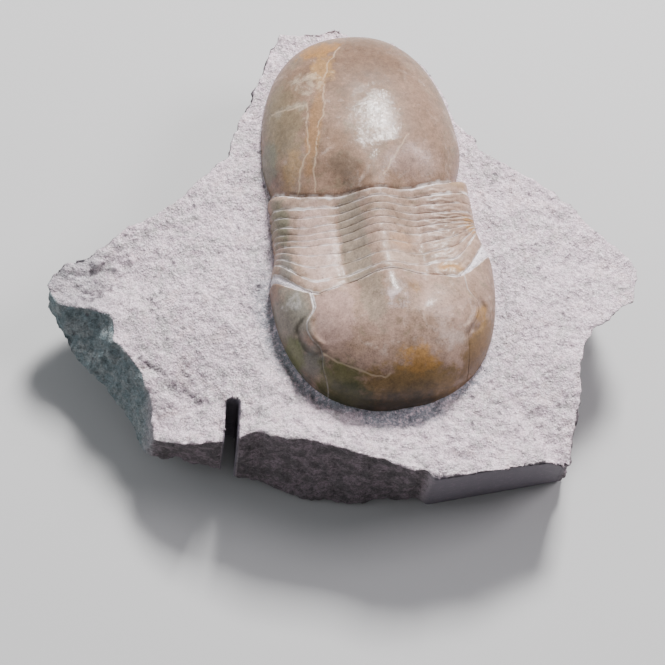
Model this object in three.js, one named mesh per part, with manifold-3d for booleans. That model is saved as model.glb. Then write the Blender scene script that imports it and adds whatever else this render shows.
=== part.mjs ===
// A fossil trilobite on its block of limestone.
//
// Millimetres, +Z up. The block lies on its flat sawn back, at z = 0, and the animal lies on
// the upper face with its head towards -Y. The origin is under the middle of the whole thing.
//
// The animal is 14 plates: the tail shield, ten rings of the thorax, the middle of the head and
// two free cheeks. Each is a solid lump, set a little into the bed, and narrow seams part them.
//
// The body has a frame of its own on the block: s runs across it, t along it towards the tail.

import * as THREE from "three";
import { mergeVertices } from "three/addons/utils/BufferGeometryUtils.js";
import Module from "manifold-3d";

const wasm = await Module();
wasm.setup();

// ---------------------------------------------------------------- driving dimensions

const SEAM = 0.3; // open seam between two plates, and between a plate and the rock
const EMBED = 1.2; // how far a plate is sunk below the bed

const BED = 20; // height of the bed that the body lies on
const BODY_X = 6.6; // where the body's own origin stands on the block
const BODY_Y = 0.1;
const BODY_TURN = THREE.MathUtils.degToRad(7);

const TAIL_END = 45; // places along the body, from the tail's end to the front of the head
const TAIL_CORNER = 17;
const WAIST = 5;
const HEAD_CORNER = -2.2;
const HEAD_END = -26.3;
const BODY_MIDDLE = (TAIL_END + HEAD_END) / 2;

const TAIL_HALF = 17.7; // half widths there
const WAIST_HALF = 18;
const HEAD_HALF = 19.7;
const FULLNESS = 2.4; // how square the ends are: 2 is an ellipse

const TAIL_CREST = { at: 14, height: 12 }; // height of the body's middle line above the bed
const WAIST_CREST = { at: 3, height: 11.2 };
const HEAD_CREST = { at: -9.5, height: 13 };

const LOBE_HALF = 7.2; // the raised middle lobe of the thorax
const LOBE_HEIGHT = 3.8;
const SHOULDER = 12; // where the thorax turns down into its flanks

// The eleven seams of the thorax, from tail to head: places along the body at the middle
// line, at the shoulder and at the margin, where the tips of the rings close like a fan.
const SEAMS = [
  [10.6, 12.4, 17.0],
  [8.8, 10.0, 12.8],
  [7.4, 8.1, 10.3],
  [6.2, 6.1, 8.3],
  [5.0, 4.8, 7.1],
  [3.7, 3.5, 6.1],
  [2.2, 2.0, 5.2],
  [0.4, 0.3, 4.2],
  [-1.3, -1.2, 3.2],
  [-3.0, -3.1, 2.0],
  [-4.6, -5.2, 0.9],
];
const HEAD_BACK = [-4.9, -6.6, -2.2]; // the back edge of the head, in the same way

const WEDGE_FROM = 9.5; // where the rock begins to fill the gap between the last ring and the head

// The line that parts a free cheek from the middle of the head: [across, along].
const SUTURE = [
  [13.4, 8],
  [13.6, -6],
  [14.2, -9],
  [16.4, -12.5],
  [15.6, -16],
  [13, -17.8],
  [12.1, -21],
  [11.6, -30],
];

// The rim of the block, counter-clockwise: the edge of the upper face and, under it, the
// edge where the side turns in under the block. [x, y, z] each.
const RIM_RIGHT = [
  [[53.1, 0.5, 17.5], [44.5, 3, 0]],
  [[51.2, 3.7, 18], [44, 6, 0]],
  [[44.5, 9.5, 18.5], [41, 9, 0]],
  [[38, 15.8, 19], [36, 14.5, 0]],
  [[32.5, 19.5, 19.5], [31, 18, 0]],
  [[26, 23, 20], [24.5, 22, 0]],
  [[24.5, 26, 20], [23.5, 24.5, 0]],
  [[21.7, 28.8, 20], [20.5, 27.5, 0]],
];
const TAIL_SIDE = [72, 60, 48, 36, 24, 12]; // degrees round the tail, where the rim follows it
const RIM_REST = [
  [[2.3, 46, 20.4], [2.5, 43.5, 0]],
  [[0.2, 47.5, 20.5], [0.5, 44.5, 0]],
  [[-5.3, 46.2, 20.5], [-5, 43.7, 0]],
  [[-9.7, 46.2, 20], [-8.8, 43.7, 0]],
  [[-11.8, 43.2, 20], [-10.8, 41.2, 0]],
  [[-13.3, 38.3, 20], [-12.3, 36.8, 0]],
  [[-15.2, 32.5, 20], [-14.2, 31.5, 0]],
  [[-18.2, 27, 20], [-17.2, 26, 0]],
  [[-19.6, 22, 20], [-18.8, 21, 0]],
  [[-25.5, 17, 20], [-25, 15.5, 0]],
  [[-30, 13, 19.5], [-29.5, 11.5, 2]],
  [[-37, 9.5, 18.5], [-36.5, 8, 5]],
  [[-44, 4.6, 17], [-44, 3.3, 8]],
  [[-49.3, 2.7, 16], [-49.3, 1.3, 10]],
  [[-51.8, -0.3, 14.5], [-51.5, -1.5, 11]],
  [[-49.7, -3.8, 14.5], [-50.6, -4.8, 10.5]],
  [[-44.7, -5.3, 16], [-48.7, -9, 9.5]],
  [[-40.5, -7, 17], [-46.7, -11.5, 8.5]],
  [[-40.4, -12, 17], [-44.2, -14.8, 8]],
  [[-37, -15.5, 16], [-40.7, -18.8, 6.5]],
  [[-35, -19.5, 15.5], [-37.7, -22.3, 5]],
  [[-33.7, -23, 14], [-35.9, -25.8, 4.5]],
  [[-33.6, -29, 12.2], [-34.3, -28.5, 4]],
  [[-28.5, -31, 15], [-28.7, -29.5, 4.5]],
  [[-21, -31.7, 18.5], [-21, -32, 5]],
  [[-16, -30.8, 20.5], [-15, -33, 2]],
  [[-7, -33.2, 22.3], [-5, -36, 0]],
  [[2, -35.3, 21.5], [3, -36.6, 0]],
  [[11, -38.5, 21.5], [11.7, -36, 0]],
  [[19.5, -38.7, 19.8], [20, -35.5, 0]],
  [[28, -38.2, 19.8], [27, -34.3, 0]],
  [[34.5, -35.2, 18], [34, -33.3, 0]],
  [[38.9, -36, 15.5], [39.5, -32.3, 0]],
  [[39.8, -30.5, 17], [40, -29, 0]],
  [[41.6, -23, 18.5], [40.5, -22, 0]],
  [[41.7, -17.3, 19], [39, -15.5, 0]],
  [[43.5, -12.8, 19], [37, -8, 0]],
  [[47, -9, 18.5], [38.5, -3, 0]],
  [[52.1, -5, 18], [42.5, 0, 0]],
];
const RIM_JUT = 0.5; // how far the rim juts in or out halfway between two stations

const BANK_RINGS = [0, 0.12, 0.3, 0.5, 0.75]; // shares of the way from the body to the rim
const SIDE_RINGS = [0.33, 0.66]; // shares of the way down the side
const FOOT_LIFT = 0.8; // the worn edge along the foot of the side
const UNDERCUT = 2; // how far the side turns in under the block, for each mm of its height

const MOAT_DEPTH = 1.6; // the trench that was cut round the head
const MOAT_WIDTH = 5;

// The saw cut in the near edge: a disc's edge, from the end of the cut outwards, a little askew.
const SAW_CUT = { radius: 52, width: 2.2, x: -19.4, reach: -23, askew: THREE.MathUtils.degToRad(-4) };

const DOME = { spread: 2.3, fall: 0.55 }; // how a cross-section of the smooth ends falls away
const FLANK_SPREAD = 5; // how far out the flanks of the thorax stay level
const LOBES_FADE_BACK = [8.6, 19.6]; // where the three lobes fade out, behind and in front
const LOBES_FADE_FRONT = [-15, -3];

const SHIELD_GRID = [24, 18]; // columns and rows of the shields, and of a thoracic ring
const RING_GRID = [28, 2];
const CUT_FROM = -30; // the prism that parts off a cheek, along the body and upwards
const CUT_TO = 8;
const CUT_HEIGHT = 40;

const LIMESTONE = { color: 0xcfc9c6, roughness: 0.95, metalness: 0 };
const TAIL_CALCITE = { color: 0xb8a39b, roughness: 0.4, metalness: 0 };
const THORAX_CALCITE = { color: 0xb59f93, roughness: 0.45, metalness: 0 };
const HEAD_CALCITE = { color: 0xac917c, roughness: 0.38, metalness: 0 };

// ---------------------------------------------------------------- the body's surface

const { clamp, lerp, smoothstep } = THREE.MathUtils;

// A quarter of an ellipse, or of a squarer curve: 1 at share 0, and 0 at share 1 and beyond.
function roundOff(share, fullness = 2) {
  return Math.pow(1 - Math.pow(clamp(share, 0, 1), fullness), 1 / fullness);
}

function shareOf(t, from, to) {
  return (t - from) / (to - from);
}

function halfWidth(t) {
  if (t > TAIL_CORNER) return TAIL_HALF * roundOff(shareOf(t, TAIL_CORNER, TAIL_END), FULLNESS);
  if (t < HEAD_CORNER) return HEAD_HALF * roundOff(shareOf(t, HEAD_CORNER, HEAD_END), FULLNESS);
  return t > WAIST
    ? lerp(WAIST_HALF, TAIL_HALF, smoothstep(t, WAIST, TAIL_CORNER))
    : lerp(HEAD_HALF, WAIST_HALF, smoothstep(t, HEAD_CORNER, WAIST));
}

function crestHeight(t) {
  const [tail, waist, head] = [TAIL_CREST, WAIST_CREST, HEAD_CREST];
  if (t > tail.at) return tail.height * roundOff(shareOf(t, tail.at, TAIL_END));
  if (t < head.at) return head.height * roundOff(shareOf(t, head.at, HEAD_END));
  return t > waist.at
    ? lerp(waist.height, tail.height, smoothstep(t, waist.at, tail.at))
    : lerp(head.height, waist.height, smoothstep(t, head.at, waist.at));
}

// 1 on the thorax, where the body has three lobes, and 0 on the smooth ends.
function lobing(t) {
  return (1 - smoothstep(t, ...LOBES_FADE_BACK)) * smoothstep(t, ...LOBES_FADE_FRONT);
}

// Height of the armour above the bed, and far below it outside the body.
function bodyHeight(s, t) {
  const half = halfWidth(t);
  if (half < 0.01 || Math.abs(s) >= half) return -10;
  const r = Math.abs(s) / half;
  const crest = crestHeight(t);
  const dome = crest * Math.pow(1 - Math.pow(r, DOME.spread), DOME.fall);
  const lobe = LOBE_HEIGHT * Math.cos((Math.PI / 2) * Math.min(1, Math.abs(s) / LOBE_HALF)) ** 2;
  const flat = Math.max(crest - LOBE_HEIGHT, 0) * Math.sqrt(1 - Math.pow(r, FLANK_SPREAD));
  return lerp(dome, flat + lobe * Math.sqrt(1 - r * r), lobing(t));
}

// A point of the body's frame in the block's.
function onBlock(s, t, height) {
  return new THREE.Vector3(s, t, 0)
    .applyAxisAngle(new THREE.Vector3(0, 0, 1), BODY_TURN)
    .add(new THREE.Vector3(BODY_X, BODY_Y, BED + height));
}

// A point of the block's frame in the body's, as [s, t].
function inBody(x, y) {
  const p = new THREE.Vector2(x - BODY_X, y - BODY_Y).rotateAround(new THREE.Vector2(), -BODY_TURN);
  return [p.x, p.y];
}

// Where a seam given by its three places lies at a distance across the body.
function alongSeam([middle, shoulder, margin], s) {
  const across = Math.abs(s);
  if (across < SHOULDER) return lerp(middle, shoulder, (across / SHOULDER) ** 2);
  const out = (across - SHOULDER) / (WAIST_HALF - SHOULDER);
  return shoulder + (margin - shoulder) * Math.pow(out, 1.5);
}

// ---------------------------------------------------------------- solids

// A grid box, u and v from 0 to 1, whose upper and lower faces are draped by two functions.
function drapedBox(columns, rows, upper, lower) {
  const box = new THREE.BoxGeometry(1, 1, 1, columns, rows, 1);
  const places = box.getAttribute("position");
  for (let i = 0; i < places.count; i += 1) {
    const drape = places.getZ(i) > 0 ? upper : lower;
    places.setXYZ(i, ...drape(places.getX(i) + 0.5, places.getY(i) + 0.5).toArray());
  }
  return box;
}

function toSolid(geometry) {
  const bare = geometry.clone();
  bare.deleteAttribute("normal");
  bare.deleteAttribute("uv");
  const merged = mergeVertices(bare, 1e-3);
  return new wasm.Manifold(
    new wasm.Mesh({
      numProp: 3,
      vertProperties: merged.getAttribute("position").array,
      triVerts: new Uint32Array(merged.index.array),
    }),
  );
}

function toGeometry(solid) {
  const { vertProperties, triVerts } = solid.getMesh();
  const geometry = new THREE.BufferGeometry();
  geometry.setAttribute("position", new THREE.BufferAttribute(vertProperties, 3));
  geometry.setIndex(new THREE.BufferAttribute(triVerts, 1));
  return geometry;
}

// A plate of the armour: its outline is given as (u, v) => [s, t].
function plate(columns, rows, outline) {
  const upper = (u, v) => {
    const [s, t] = outline(u, v);
    return onBlock(s, t, Math.max(bodyHeight(s, t), 0));
  };
  const lower = (u, v) => onBlock(...outline(u, v), -EMBED);
  return drapedBox(columns, rows, upper, lower);
}

// A shield with one long edge and a round margin. The grid's corners spread along the margin,
// and columns that run from left to right or back keep it from turning inside out.
function shield(edge, corner, half, end) {
  return plate(...SHIELD_GRID, (u, v) => {
    const across = (2 * u - 1) * Math.sign(end - corner);
    const x = across * Math.sqrt(1 - (v * v) / 2);
    const y = v * Math.sqrt(1 - (across * across) / 2);
    const reach = roundOff(Math.abs(x));
    const share = reach > 1e-6 ? Math.min(y / reach, 1) : 1;
    const s = x * (half - 0.02);
    const margin = corner + (end - corner) * roundOff(Math.abs(x), FULLNESS) * 0.999;
    return [s, lerp(edge(s), margin, share)];
  });
}

const pygidium = shield(
  (s) => alongSeam(SEAMS[0], s) + SEAM / 2,
  TAIL_CORNER,
  TAIL_HALF,
  TAIL_END,
);

function thoraxRing(i) {
  const [back, front] = [SEAMS[i], SEAMS[i + 1]];
  return plate(...RING_GRID, (u, v) => {
    const middle = (alongSeam(back, WAIST_HALF) + alongSeam(front, WAIST_HALF)) / 2;
    const s = (2 * u - 1) * (halfWidth(middle) - 0.05);
    return [s, lerp(alongSeam(front, s) + SEAM / 2, alongSeam(back, s) - SEAM / 2, v)];
  });
}

// Everything outside one suture, as a tall prism. The line is moved outwards by a distance.
function cheekSide(side, outwards) {
  const line = new THREE.SplineCurve(SUTURE.map(([s, t]) => new THREE.Vector2(s + outwards, t)));
  const far = 2 * HEAD_HALF;
  const corners = [CUT_FROM, CUT_TO].map((t) => new THREE.Vector2(far, t));
  const shape = new THREE.Shape([...line.getPoints(28), ...corners]);
  const prism = new THREE.ExtrudeGeometry(shape, { depth: CUT_HEIGHT, bevelEnabled: false });
  const solid = toSolid(prism);
  const placed = side > 0 ? solid : solid.mirror([1, 0, 0]);
  const turn = THREE.MathUtils.radToDeg(BODY_TURN);
  return placed.rotate([0, 0, turn]).translate([BODY_X, BODY_Y, 0]);
}

const wholeHead = toSolid(
  shield((s) => alongSeam(HEAD_BACK, s) - SEAM / 2, HEAD_CORNER, HEAD_HALF, HEAD_END),
);
const cranidium = wholeHead
  .subtract(cheekSide(1, -SEAM / 2))
  .subtract(cheekSide(-1, -SEAM / 2));
const cheek = (side) => wholeHead.intersect(cheekSide(side, SEAM / 2));

// The rock that fills the open wedge between the last ring's tip and the head's corner.
function wedge(side) {
  const floor = -EMBED - SEAM - 1;
  const outline = (u, v) => {
    const s = side * lerp(WEDGE_FROM, WAIST_HALF - 0.3, side > 0 ? u : 1 - u);
    const head = alongSeam(HEAD_BACK, s) + SEAM;
    const ring = Math.max(alongSeam(SEAMS.at(-1), s) - SEAM, head + 0.05);
    return [s, lerp(head, ring, v)];
  };
  const upper = (u, v) => {
    const [s, t] = outline(u, v);
    return onBlock(s, t, Math.max(bodyHeight(s, t) - 0.5, floor + 0.5));
  };
  const lower = (u, v) => onBlock(...outline(u, v), floor);
  return toSolid(drapedBox(8, 3, upper, lower));
}

// ---------------------------------------------------------------- the block

const [CENTRE_X, CENTRE_Y] = onBlock(0, BODY_MIDDLE, 0).toArray();

// How far from the centre the body's margin is, in a direction on the block.
function marginRadius(angle) {
  let [near, far] = [0, TAIL_END];
  for (let i = 0; i < 20; i += 1) {
    const middle = (near + far) / 2;
    const [s, t] = inBody(CENTRE_X + middle * Math.cos(angle), CENTRE_Y + middle * Math.sin(angle));
    if (bodyHeight(s, t) > -5) near = middle;
    else far = middle;
  }
  return near;
}

// The stations of the rim beside the tail, worked out from its margin.
function rimBesideTail() {
  return TAIL_SIDE.map((degrees) => {
    const angle = THREE.MathUtils.degToRad(degrees);
    const inside = (inset, z) => {
      const t = TAIL_CORNER + (TAIL_END - TAIL_CORNER - inset) * Math.cos(angle);
      const s = halfWidth(t + inset * Math.cos(angle)) - inset * Math.sin(angle);
      const { x, y } = onBlock(s, t, 0);
      return [x, y, z];
    };
    return [inside(-0.5, BED), inside(1.2, 0)];
  });
}

// Each station and the middle between it and the next, moved a little so that the rim is broken.
function rimColumns() {
  const stations = [...RIM_RIGHT, ...rimBesideTail(), ...RIM_REST];
  return stations.flatMap(([top, low], i) => {
    const [nextTop, nextLow] = stations[(i + 1) % stations.length];
    const past = i - RIM_RIGHT.length;
    const beside = past >= -1 && past <= TAIL_SIDE.length;
    const jut = beside ? 0 : RIM_JUT * Math.sin(7 * i);
    const between = (a, b) => {
      const middle = a.map((value, k) => (value + b[k]) / 2);
      const out = new THREE.Vector2(middle[0] - CENTRE_X, middle[1] - CENTRE_Y).setLength(jut);
      return [middle[0] + out.x, middle[1] + out.y, middle[2]];
    };
    return [[top, low], [between(top, nextTop), between(low, nextLow)]];
  });
}

// The trench round the head: deepest in front and to the left of it.
function moatDepth(x, y, away) {
  const [s, t] = inBody(x, y);
  const aroundHead = 1 - smoothstep(t, -8, 12);
  const side = s < 0 ? 1 : 0.55;
  const edge = 1 - smoothstep(away, 0, MOAT_WIDTH);
  return MOAT_DEPTH * aroundHead * side * edge;
}

// The rings of one column of the block, from the middle of the pocket that the body is set in,
// over the bed and the rim, to the middle of the back.
function blockColumn([top, low]) {
  const angle = Math.atan2(top[1] - CENTRE_Y, top[0] - CENTRE_X);
  const margin = marginRadius(angle);
  const rim = Math.hypot(top[0] - CENTRE_X, top[1] - CENTRE_Y);
  const at = (radius, z) => [
    CENTRE_X + radius * Math.cos(angle),
    CENTRE_Y + radius * Math.sin(angle),
    z,
  ];
  const pocket = BED - EMBED - SEAM;
  const floorRings = [at(0.5 * margin, pocket)];

  const outer = Math.min(margin + SEAM + 0.1, rim - 0.3);
  const bankRings = [at(outer, pocket)];
  for (const share of BANK_RINGS) {
    const radius = lerp(outer + 0.05, rim, share);
    const [x, y] = at(radius, 0);
    const level = lerp(BED, top[2], smoothstep(share, 0.05, 1));
    bankRings.push(at(radius, level - moatDepth(x, y, radius - margin)));
  }

  const side = (share) => top.map((value, k) => lerp(value, low[k], share));
  const toCentre = new THREE.Vector2(CENTRE_X - low[0], CENTRE_Y - low[1]);
  const back = toCentre.clone().setLength(1 + UNDERCUT * low[2]);
  const foot = [low[0] + back.x, low[1] + back.y, 0];
  const under = (share) => [lerp(foot[0], CENTRE_X, share), lerp(foot[1], CENTRE_Y, share), 0];
  const lift = low[2] > 0 ? low[2] : FOOT_LIFT;
  return [
    ...floorRings,
    ...bankRings,
    top,
    ...SIDE_RINGS.map(side),
    [low[0], low[1], lift],
    foot,
    under(0.5),
  ];
}

// The block as a closed net of rings, built on a sphere's grid.
function blockGeometry() {
  const columns = rimColumns().map(blockColumn);
  const rings = columns[0].length;
  const net = new THREE.SphereGeometry(1, columns.length, rings + 1);
  const places = net.getAttribute("position");
  for (let i = 0; i < places.count; i += 1) {
    const ring = Math.floor(i / (columns.length + 1));
    const column = columns[(i % (columns.length + 1)) % columns.length];
    if (ring === 0) places.setXYZ(i, CENTRE_X, CENTRE_Y, BED - EMBED - SEAM);
    else if (ring === rings + 1) places.setXYZ(i, CENTRE_X, CENTRE_Y, 0);
    else places.setXYZ(i, ...column[ring - 1]);
  }
  return net;
}

// The disc of the saw that cut into the near edge, standing across it.
function sawDisc() {
  const disc = new THREE.CylinderGeometry(SAW_CUT.radius, SAW_CUT.radius, SAW_CUT.width, 96);
  disc.rotateZ(Math.PI / 2);
  disc.translate(0, -SAW_CUT.radius, 0);
  disc.rotateZ(SAW_CUT.askew);
  disc.translate(SAW_CUT.x, SAW_CUT.reach, BED / 2);
  return toSolid(disc);
}

const matrix = toSolid(blockGeometry()).add(wedge(1)).add(wedge(-1)).subtract(sawDisc());

// ---------------------------------------------------------------- the assembly

function node(name, geometry, finish) {
  const mesh = new THREE.Mesh(geometry, new THREE.MeshStandardMaterial(finish));
  mesh.name = name;
  return mesh;
}

const fossil = new THREE.Group();
fossil.name = "trilobite_fossil";
fossil.add(node("matrix", toGeometry(matrix), LIMESTONE));
fossil.add(node("pygidium", pygidium, TAIL_CALCITE));
for (let i = 0; i < SEAMS.length - 1; i += 1) {
  const number = String(SEAMS.length - 1 - i).padStart(2, "0"); // counted from the head
  fossil.add(node(`thorax_ring_${number}`, thoraxRing(i), THORAX_CALCITE));
}
fossil.add(node("cranidium", toGeometry(cranidium), HEAD_CALCITE));
fossil.add(node("free_cheek_left", toGeometry(cheek(1)), HEAD_CALCITE));
fossil.add(node("free_cheek_right", toGeometry(cheek(-1)), HEAD_CALCITE));

const middle = new THREE.Box3().setFromObject(fossil).getCenter(new THREE.Vector3());
fossil.position.set(-middle.x, -middle.y, 0);

export default fossil;
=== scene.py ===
"""A trilobite fossil on its block of pale limestone, lying on its sawn back on a studio floor.

Lengths are millimetres until a mesh is made, and metres in the meshes. The animal has a frame
of its own on the block: s runs across it, to its left, and t along it, towards the tail.
"""

import logging
import math
from dataclasses import dataclass, field
from enum import Enum
from typing import Sequence

import bmesh
import bpy
import numpy as np
from mathutils import Matrix, Vector


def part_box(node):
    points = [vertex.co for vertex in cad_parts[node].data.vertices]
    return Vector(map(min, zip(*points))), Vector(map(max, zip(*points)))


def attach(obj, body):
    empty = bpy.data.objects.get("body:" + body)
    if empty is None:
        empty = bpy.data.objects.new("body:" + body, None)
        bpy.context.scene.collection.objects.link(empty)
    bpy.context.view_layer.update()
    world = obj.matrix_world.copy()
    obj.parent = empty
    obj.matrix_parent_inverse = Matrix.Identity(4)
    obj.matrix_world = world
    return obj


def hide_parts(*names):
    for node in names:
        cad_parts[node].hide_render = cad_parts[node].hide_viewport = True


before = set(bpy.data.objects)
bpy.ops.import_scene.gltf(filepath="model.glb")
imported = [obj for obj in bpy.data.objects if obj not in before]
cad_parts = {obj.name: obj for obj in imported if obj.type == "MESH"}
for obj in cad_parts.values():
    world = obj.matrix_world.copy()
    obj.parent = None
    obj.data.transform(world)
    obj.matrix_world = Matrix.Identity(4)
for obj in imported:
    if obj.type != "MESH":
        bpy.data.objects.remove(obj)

LOG = logging.getLogger("trilobite")
MM = 0.001
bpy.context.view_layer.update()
BODY = "root"
Colour = tuple[float, float, float]
Place = tuple[float, float]
Wave = tuple[float, float, float]  # how high, how long, and its seed


# ------------------------------------------------------------------ small helpers


def rise(value: np.ndarray, low: float, high: float) -> np.ndarray:
    """Returns a smooth step, which is 0 up to low and 1 from high on."""
    x = np.clip((value - low) / (high - low), 0.0, 1.0)
    return x * x * (3 - 2 * x)


def blend(a: np.ndarray, b: np.ndarray, share: np.ndarray) -> np.ndarray:
    """Returns a where share is 0 and b where it is 1."""
    return a + (b - a) * share


def round_off(share: np.ndarray, fullness: float = 2.0) -> np.ndarray:
    """Returns 1 at share 0 and 0 from share 1 on, along an ellipse, or squarer past fullness 2."""
    return (1 - np.clip(share, 0, 1) ** fullness) ** (1 / fullness)


def soft_line(points: Sequence[Place], at: np.ndarray, spacing: float = 0.35) -> np.ndarray:
    """A line through points given as (value, place), with its corners rounded.

    Args:
        points: Value and place of each point, with the places going up.
        at: The places where the value is asked.
        spacing: How far apart the values are that are averaged at a place.

    Returns:
        The value at each place.
    """
    places = [place for _, place in points]
    values = [value for value, _ in points]
    near = [np.interp(at + spacing * k, places, values) for k in (-2, -1, 0, 1, 2)]
    return sum(near) / len(near)


def line_distance(points: Sequence[Place], s: np.ndarray, t: np.ndarray) -> np.ndarray:
    """How far places on the body are from a line of straight stretches.

    Args:
        points: The line's corners, as (s, t).
        s: Places across the body.
        t: Places along it.

    Returns:
        The distance of each place from the line.
    """
    best = np.full(s.shape, np.inf)
    for (s0, t0), (s1, t1) in zip(points, points[1:]):
        ds, dt = s1 - s0, t1 - t0
        share = np.clip(((s - s0) * ds + (t - t0) * dt) / (ds * ds + dt * dt), 0, 1)
        best = np.minimum(best, np.hypot(s - s0 - share * ds, t - t0 - share * dt))
    return best


def ripple(s: np.ndarray, t: np.ndarray, length: float, seed: float) -> np.ndarray:
    """A gentle, irregular wave over the surface, from about -1 to 1.

    Args:
        s: Places across the body.
        t: Places along it.
        length: About how far one crest is from the next.
        seed: Any number; another one gives another wave.

    Returns:
        The wave's height at each place.
    """
    k = 2 * math.pi / length
    # three crossing waves; the directions and shifts only have to be unlike each other
    first = np.sin(k * (0.83 * s + 0.37 * t) + seed)
    second = np.sin(k * (-0.51 * s + 0.92 * t) + 2.3 * seed + 1.1 * first)
    third = np.sin(k * (0.31 * s - 1.21 * t) + 4.1 * seed + 0.9 * second)
    return (first + second + third) / 3


@dataclass(frozen=True)
class Swell:
    """A soft mound on the armour, or a hollow where its height is below 0."""

    centre: Place
    reach: Place
    height: float

    def at(self, across: np.ndarray, along: np.ndarray) -> np.ndarray:
        """Returns the mound's height at places across and along the body."""
        off_across = (across - self.centre[0]) / self.reach[0]
        off_along = (along - self.centre[1]) / self.reach[1]
        return self.height * np.exp(-(off_across**2) - off_along**2)


@dataclass(frozen=True)
class Crack:
    """How a crack is drawn along its line.

    wander holds the waves that push it off its line, and uneven is the wave that changes its
    width. core is the solid part of its width.
    """

    width: float
    wander: tuple[Wave, ...]
    uneven: Wave
    core: float

    def mask(self, lines: Sequence[Sequence[Place]], s: np.ndarray, t: np.ndarray) -> np.ndarray:
        """Where the cracks are.

        Args:
            lines: Each crack's line of places.
            s: Places across.
            t: Places along.

        Returns:
            1 in a crack, 0 away from all of them.
        """
        found = np.zeros(s.shape)
        change, change_length, change_seed = self.uneven
        for number, points in enumerate(lines):
            push = sum(far * ripple(s, t, length, number + seed) for far, length, seed in self.wander)
            away = line_distance(points, s + push, t - push)
            thick = self.width + change * ripple(s, t, change_length, number + change_seed)
            found = np.maximum(found, 1 - rise(away, self.core * thick, thick))
        return found


HEALED_CRACK = Crack(0.16, ((0.22, 3.4, 0), (0.06, 1.1, 5)), (0.08, 3.4, 2), core=0.25)
ROCK_FISSURE = Crack(0.35, ((0.5, 2.4, 0),), (0.25, 1.9, 1), core=0.2)


# ------------------------------------------------------------------ the animal's shape

SHOULDER = 12.0  # how far from the middle the thorax turns down into its flanks
THORAX_HALF = 18.0  # half the thorax's width


class Side(Enum):
    """The animal's two sides, by the sign of s."""

    RIGHT = -1
    LEFT = 1


@dataclass(frozen=True)
class Seam:
    """A seam across the thorax, by where it lies along the body at five places across it.

    film is the width of the lime in it, and lime how white that is. Pairs go right, left.
    """

    axis: float
    shoulders: Place
    margins: Place
    film: float = 0.2
    lime: float = 0.3

    def at(self, s: np.ndarray | float) -> np.ndarray:
        """Where the seam lies along the body.

        Args:
            s: Places across the body.

        Returns:
            The seam's place along the body at each s.
        """
        across = np.abs(s)
        low = np.where(s < 0, *self.shoulders)
        end = np.where(s < 0, *self.margins)
        inner = self.axis + (low - self.axis) * (across / SHOULDER) ** 2
        out = np.clip((across - SHOULDER) / (THORAX_HALF - SHOULDER), 0, 1.2)
        return np.where(across < SHOULDER, inner, low + (end - low) * out**1.5)


SEAMS = (  # from the tail forwards; the first parts the tail shield from the thorax
    Seam(10.6, (12.0, 12.0), (16.6, 15.8), film=0.5, lime=1.0),
    Seam(9.2, (9.8, 9.8), (12.2, 11.2), film=0.36, lime=0.85),
    Seam(7.9, (8.1, 8.1), (10.6, 9.0), film=0.24, lime=0.5),
    Seam(6.6, (6.3, 6.4), (8.8, 7.4), film=0.26, lime=0.6),
    Seam(5.3, (5.0, 5.3), (7.3, 6.4), film=0.22, lime=0.45),
    Seam(4.0, (3.9, 4.4), (6.1, 5.7), film=0.24, lime=0.5),
    Seam(2.5, (2.8, 3.2), (5.0, 5.6), film=0.26, lime=0.6),
    Seam(0.6, (0.9, 1.5), (4.2, 5.4), film=0.24, lime=0.5),
    Seam(-1.6, (-1.6, -0.5), (2.9, 5.0), film=0.28, lime=0.65),
    Seam(-3.9, (-4.5, -2.9), (1.4, 4.2), film=0.38, lime=0.95),
    Seam(-5.13, (-6.93, -6.6), (-1.2, 0.7), film=0.34, lime=0.8),
)
HEAD_BACK = Seam(-5.17, (-6.97, -6.66), (-2.8, -2.2), film=0.34, lime=0.9)


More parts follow.
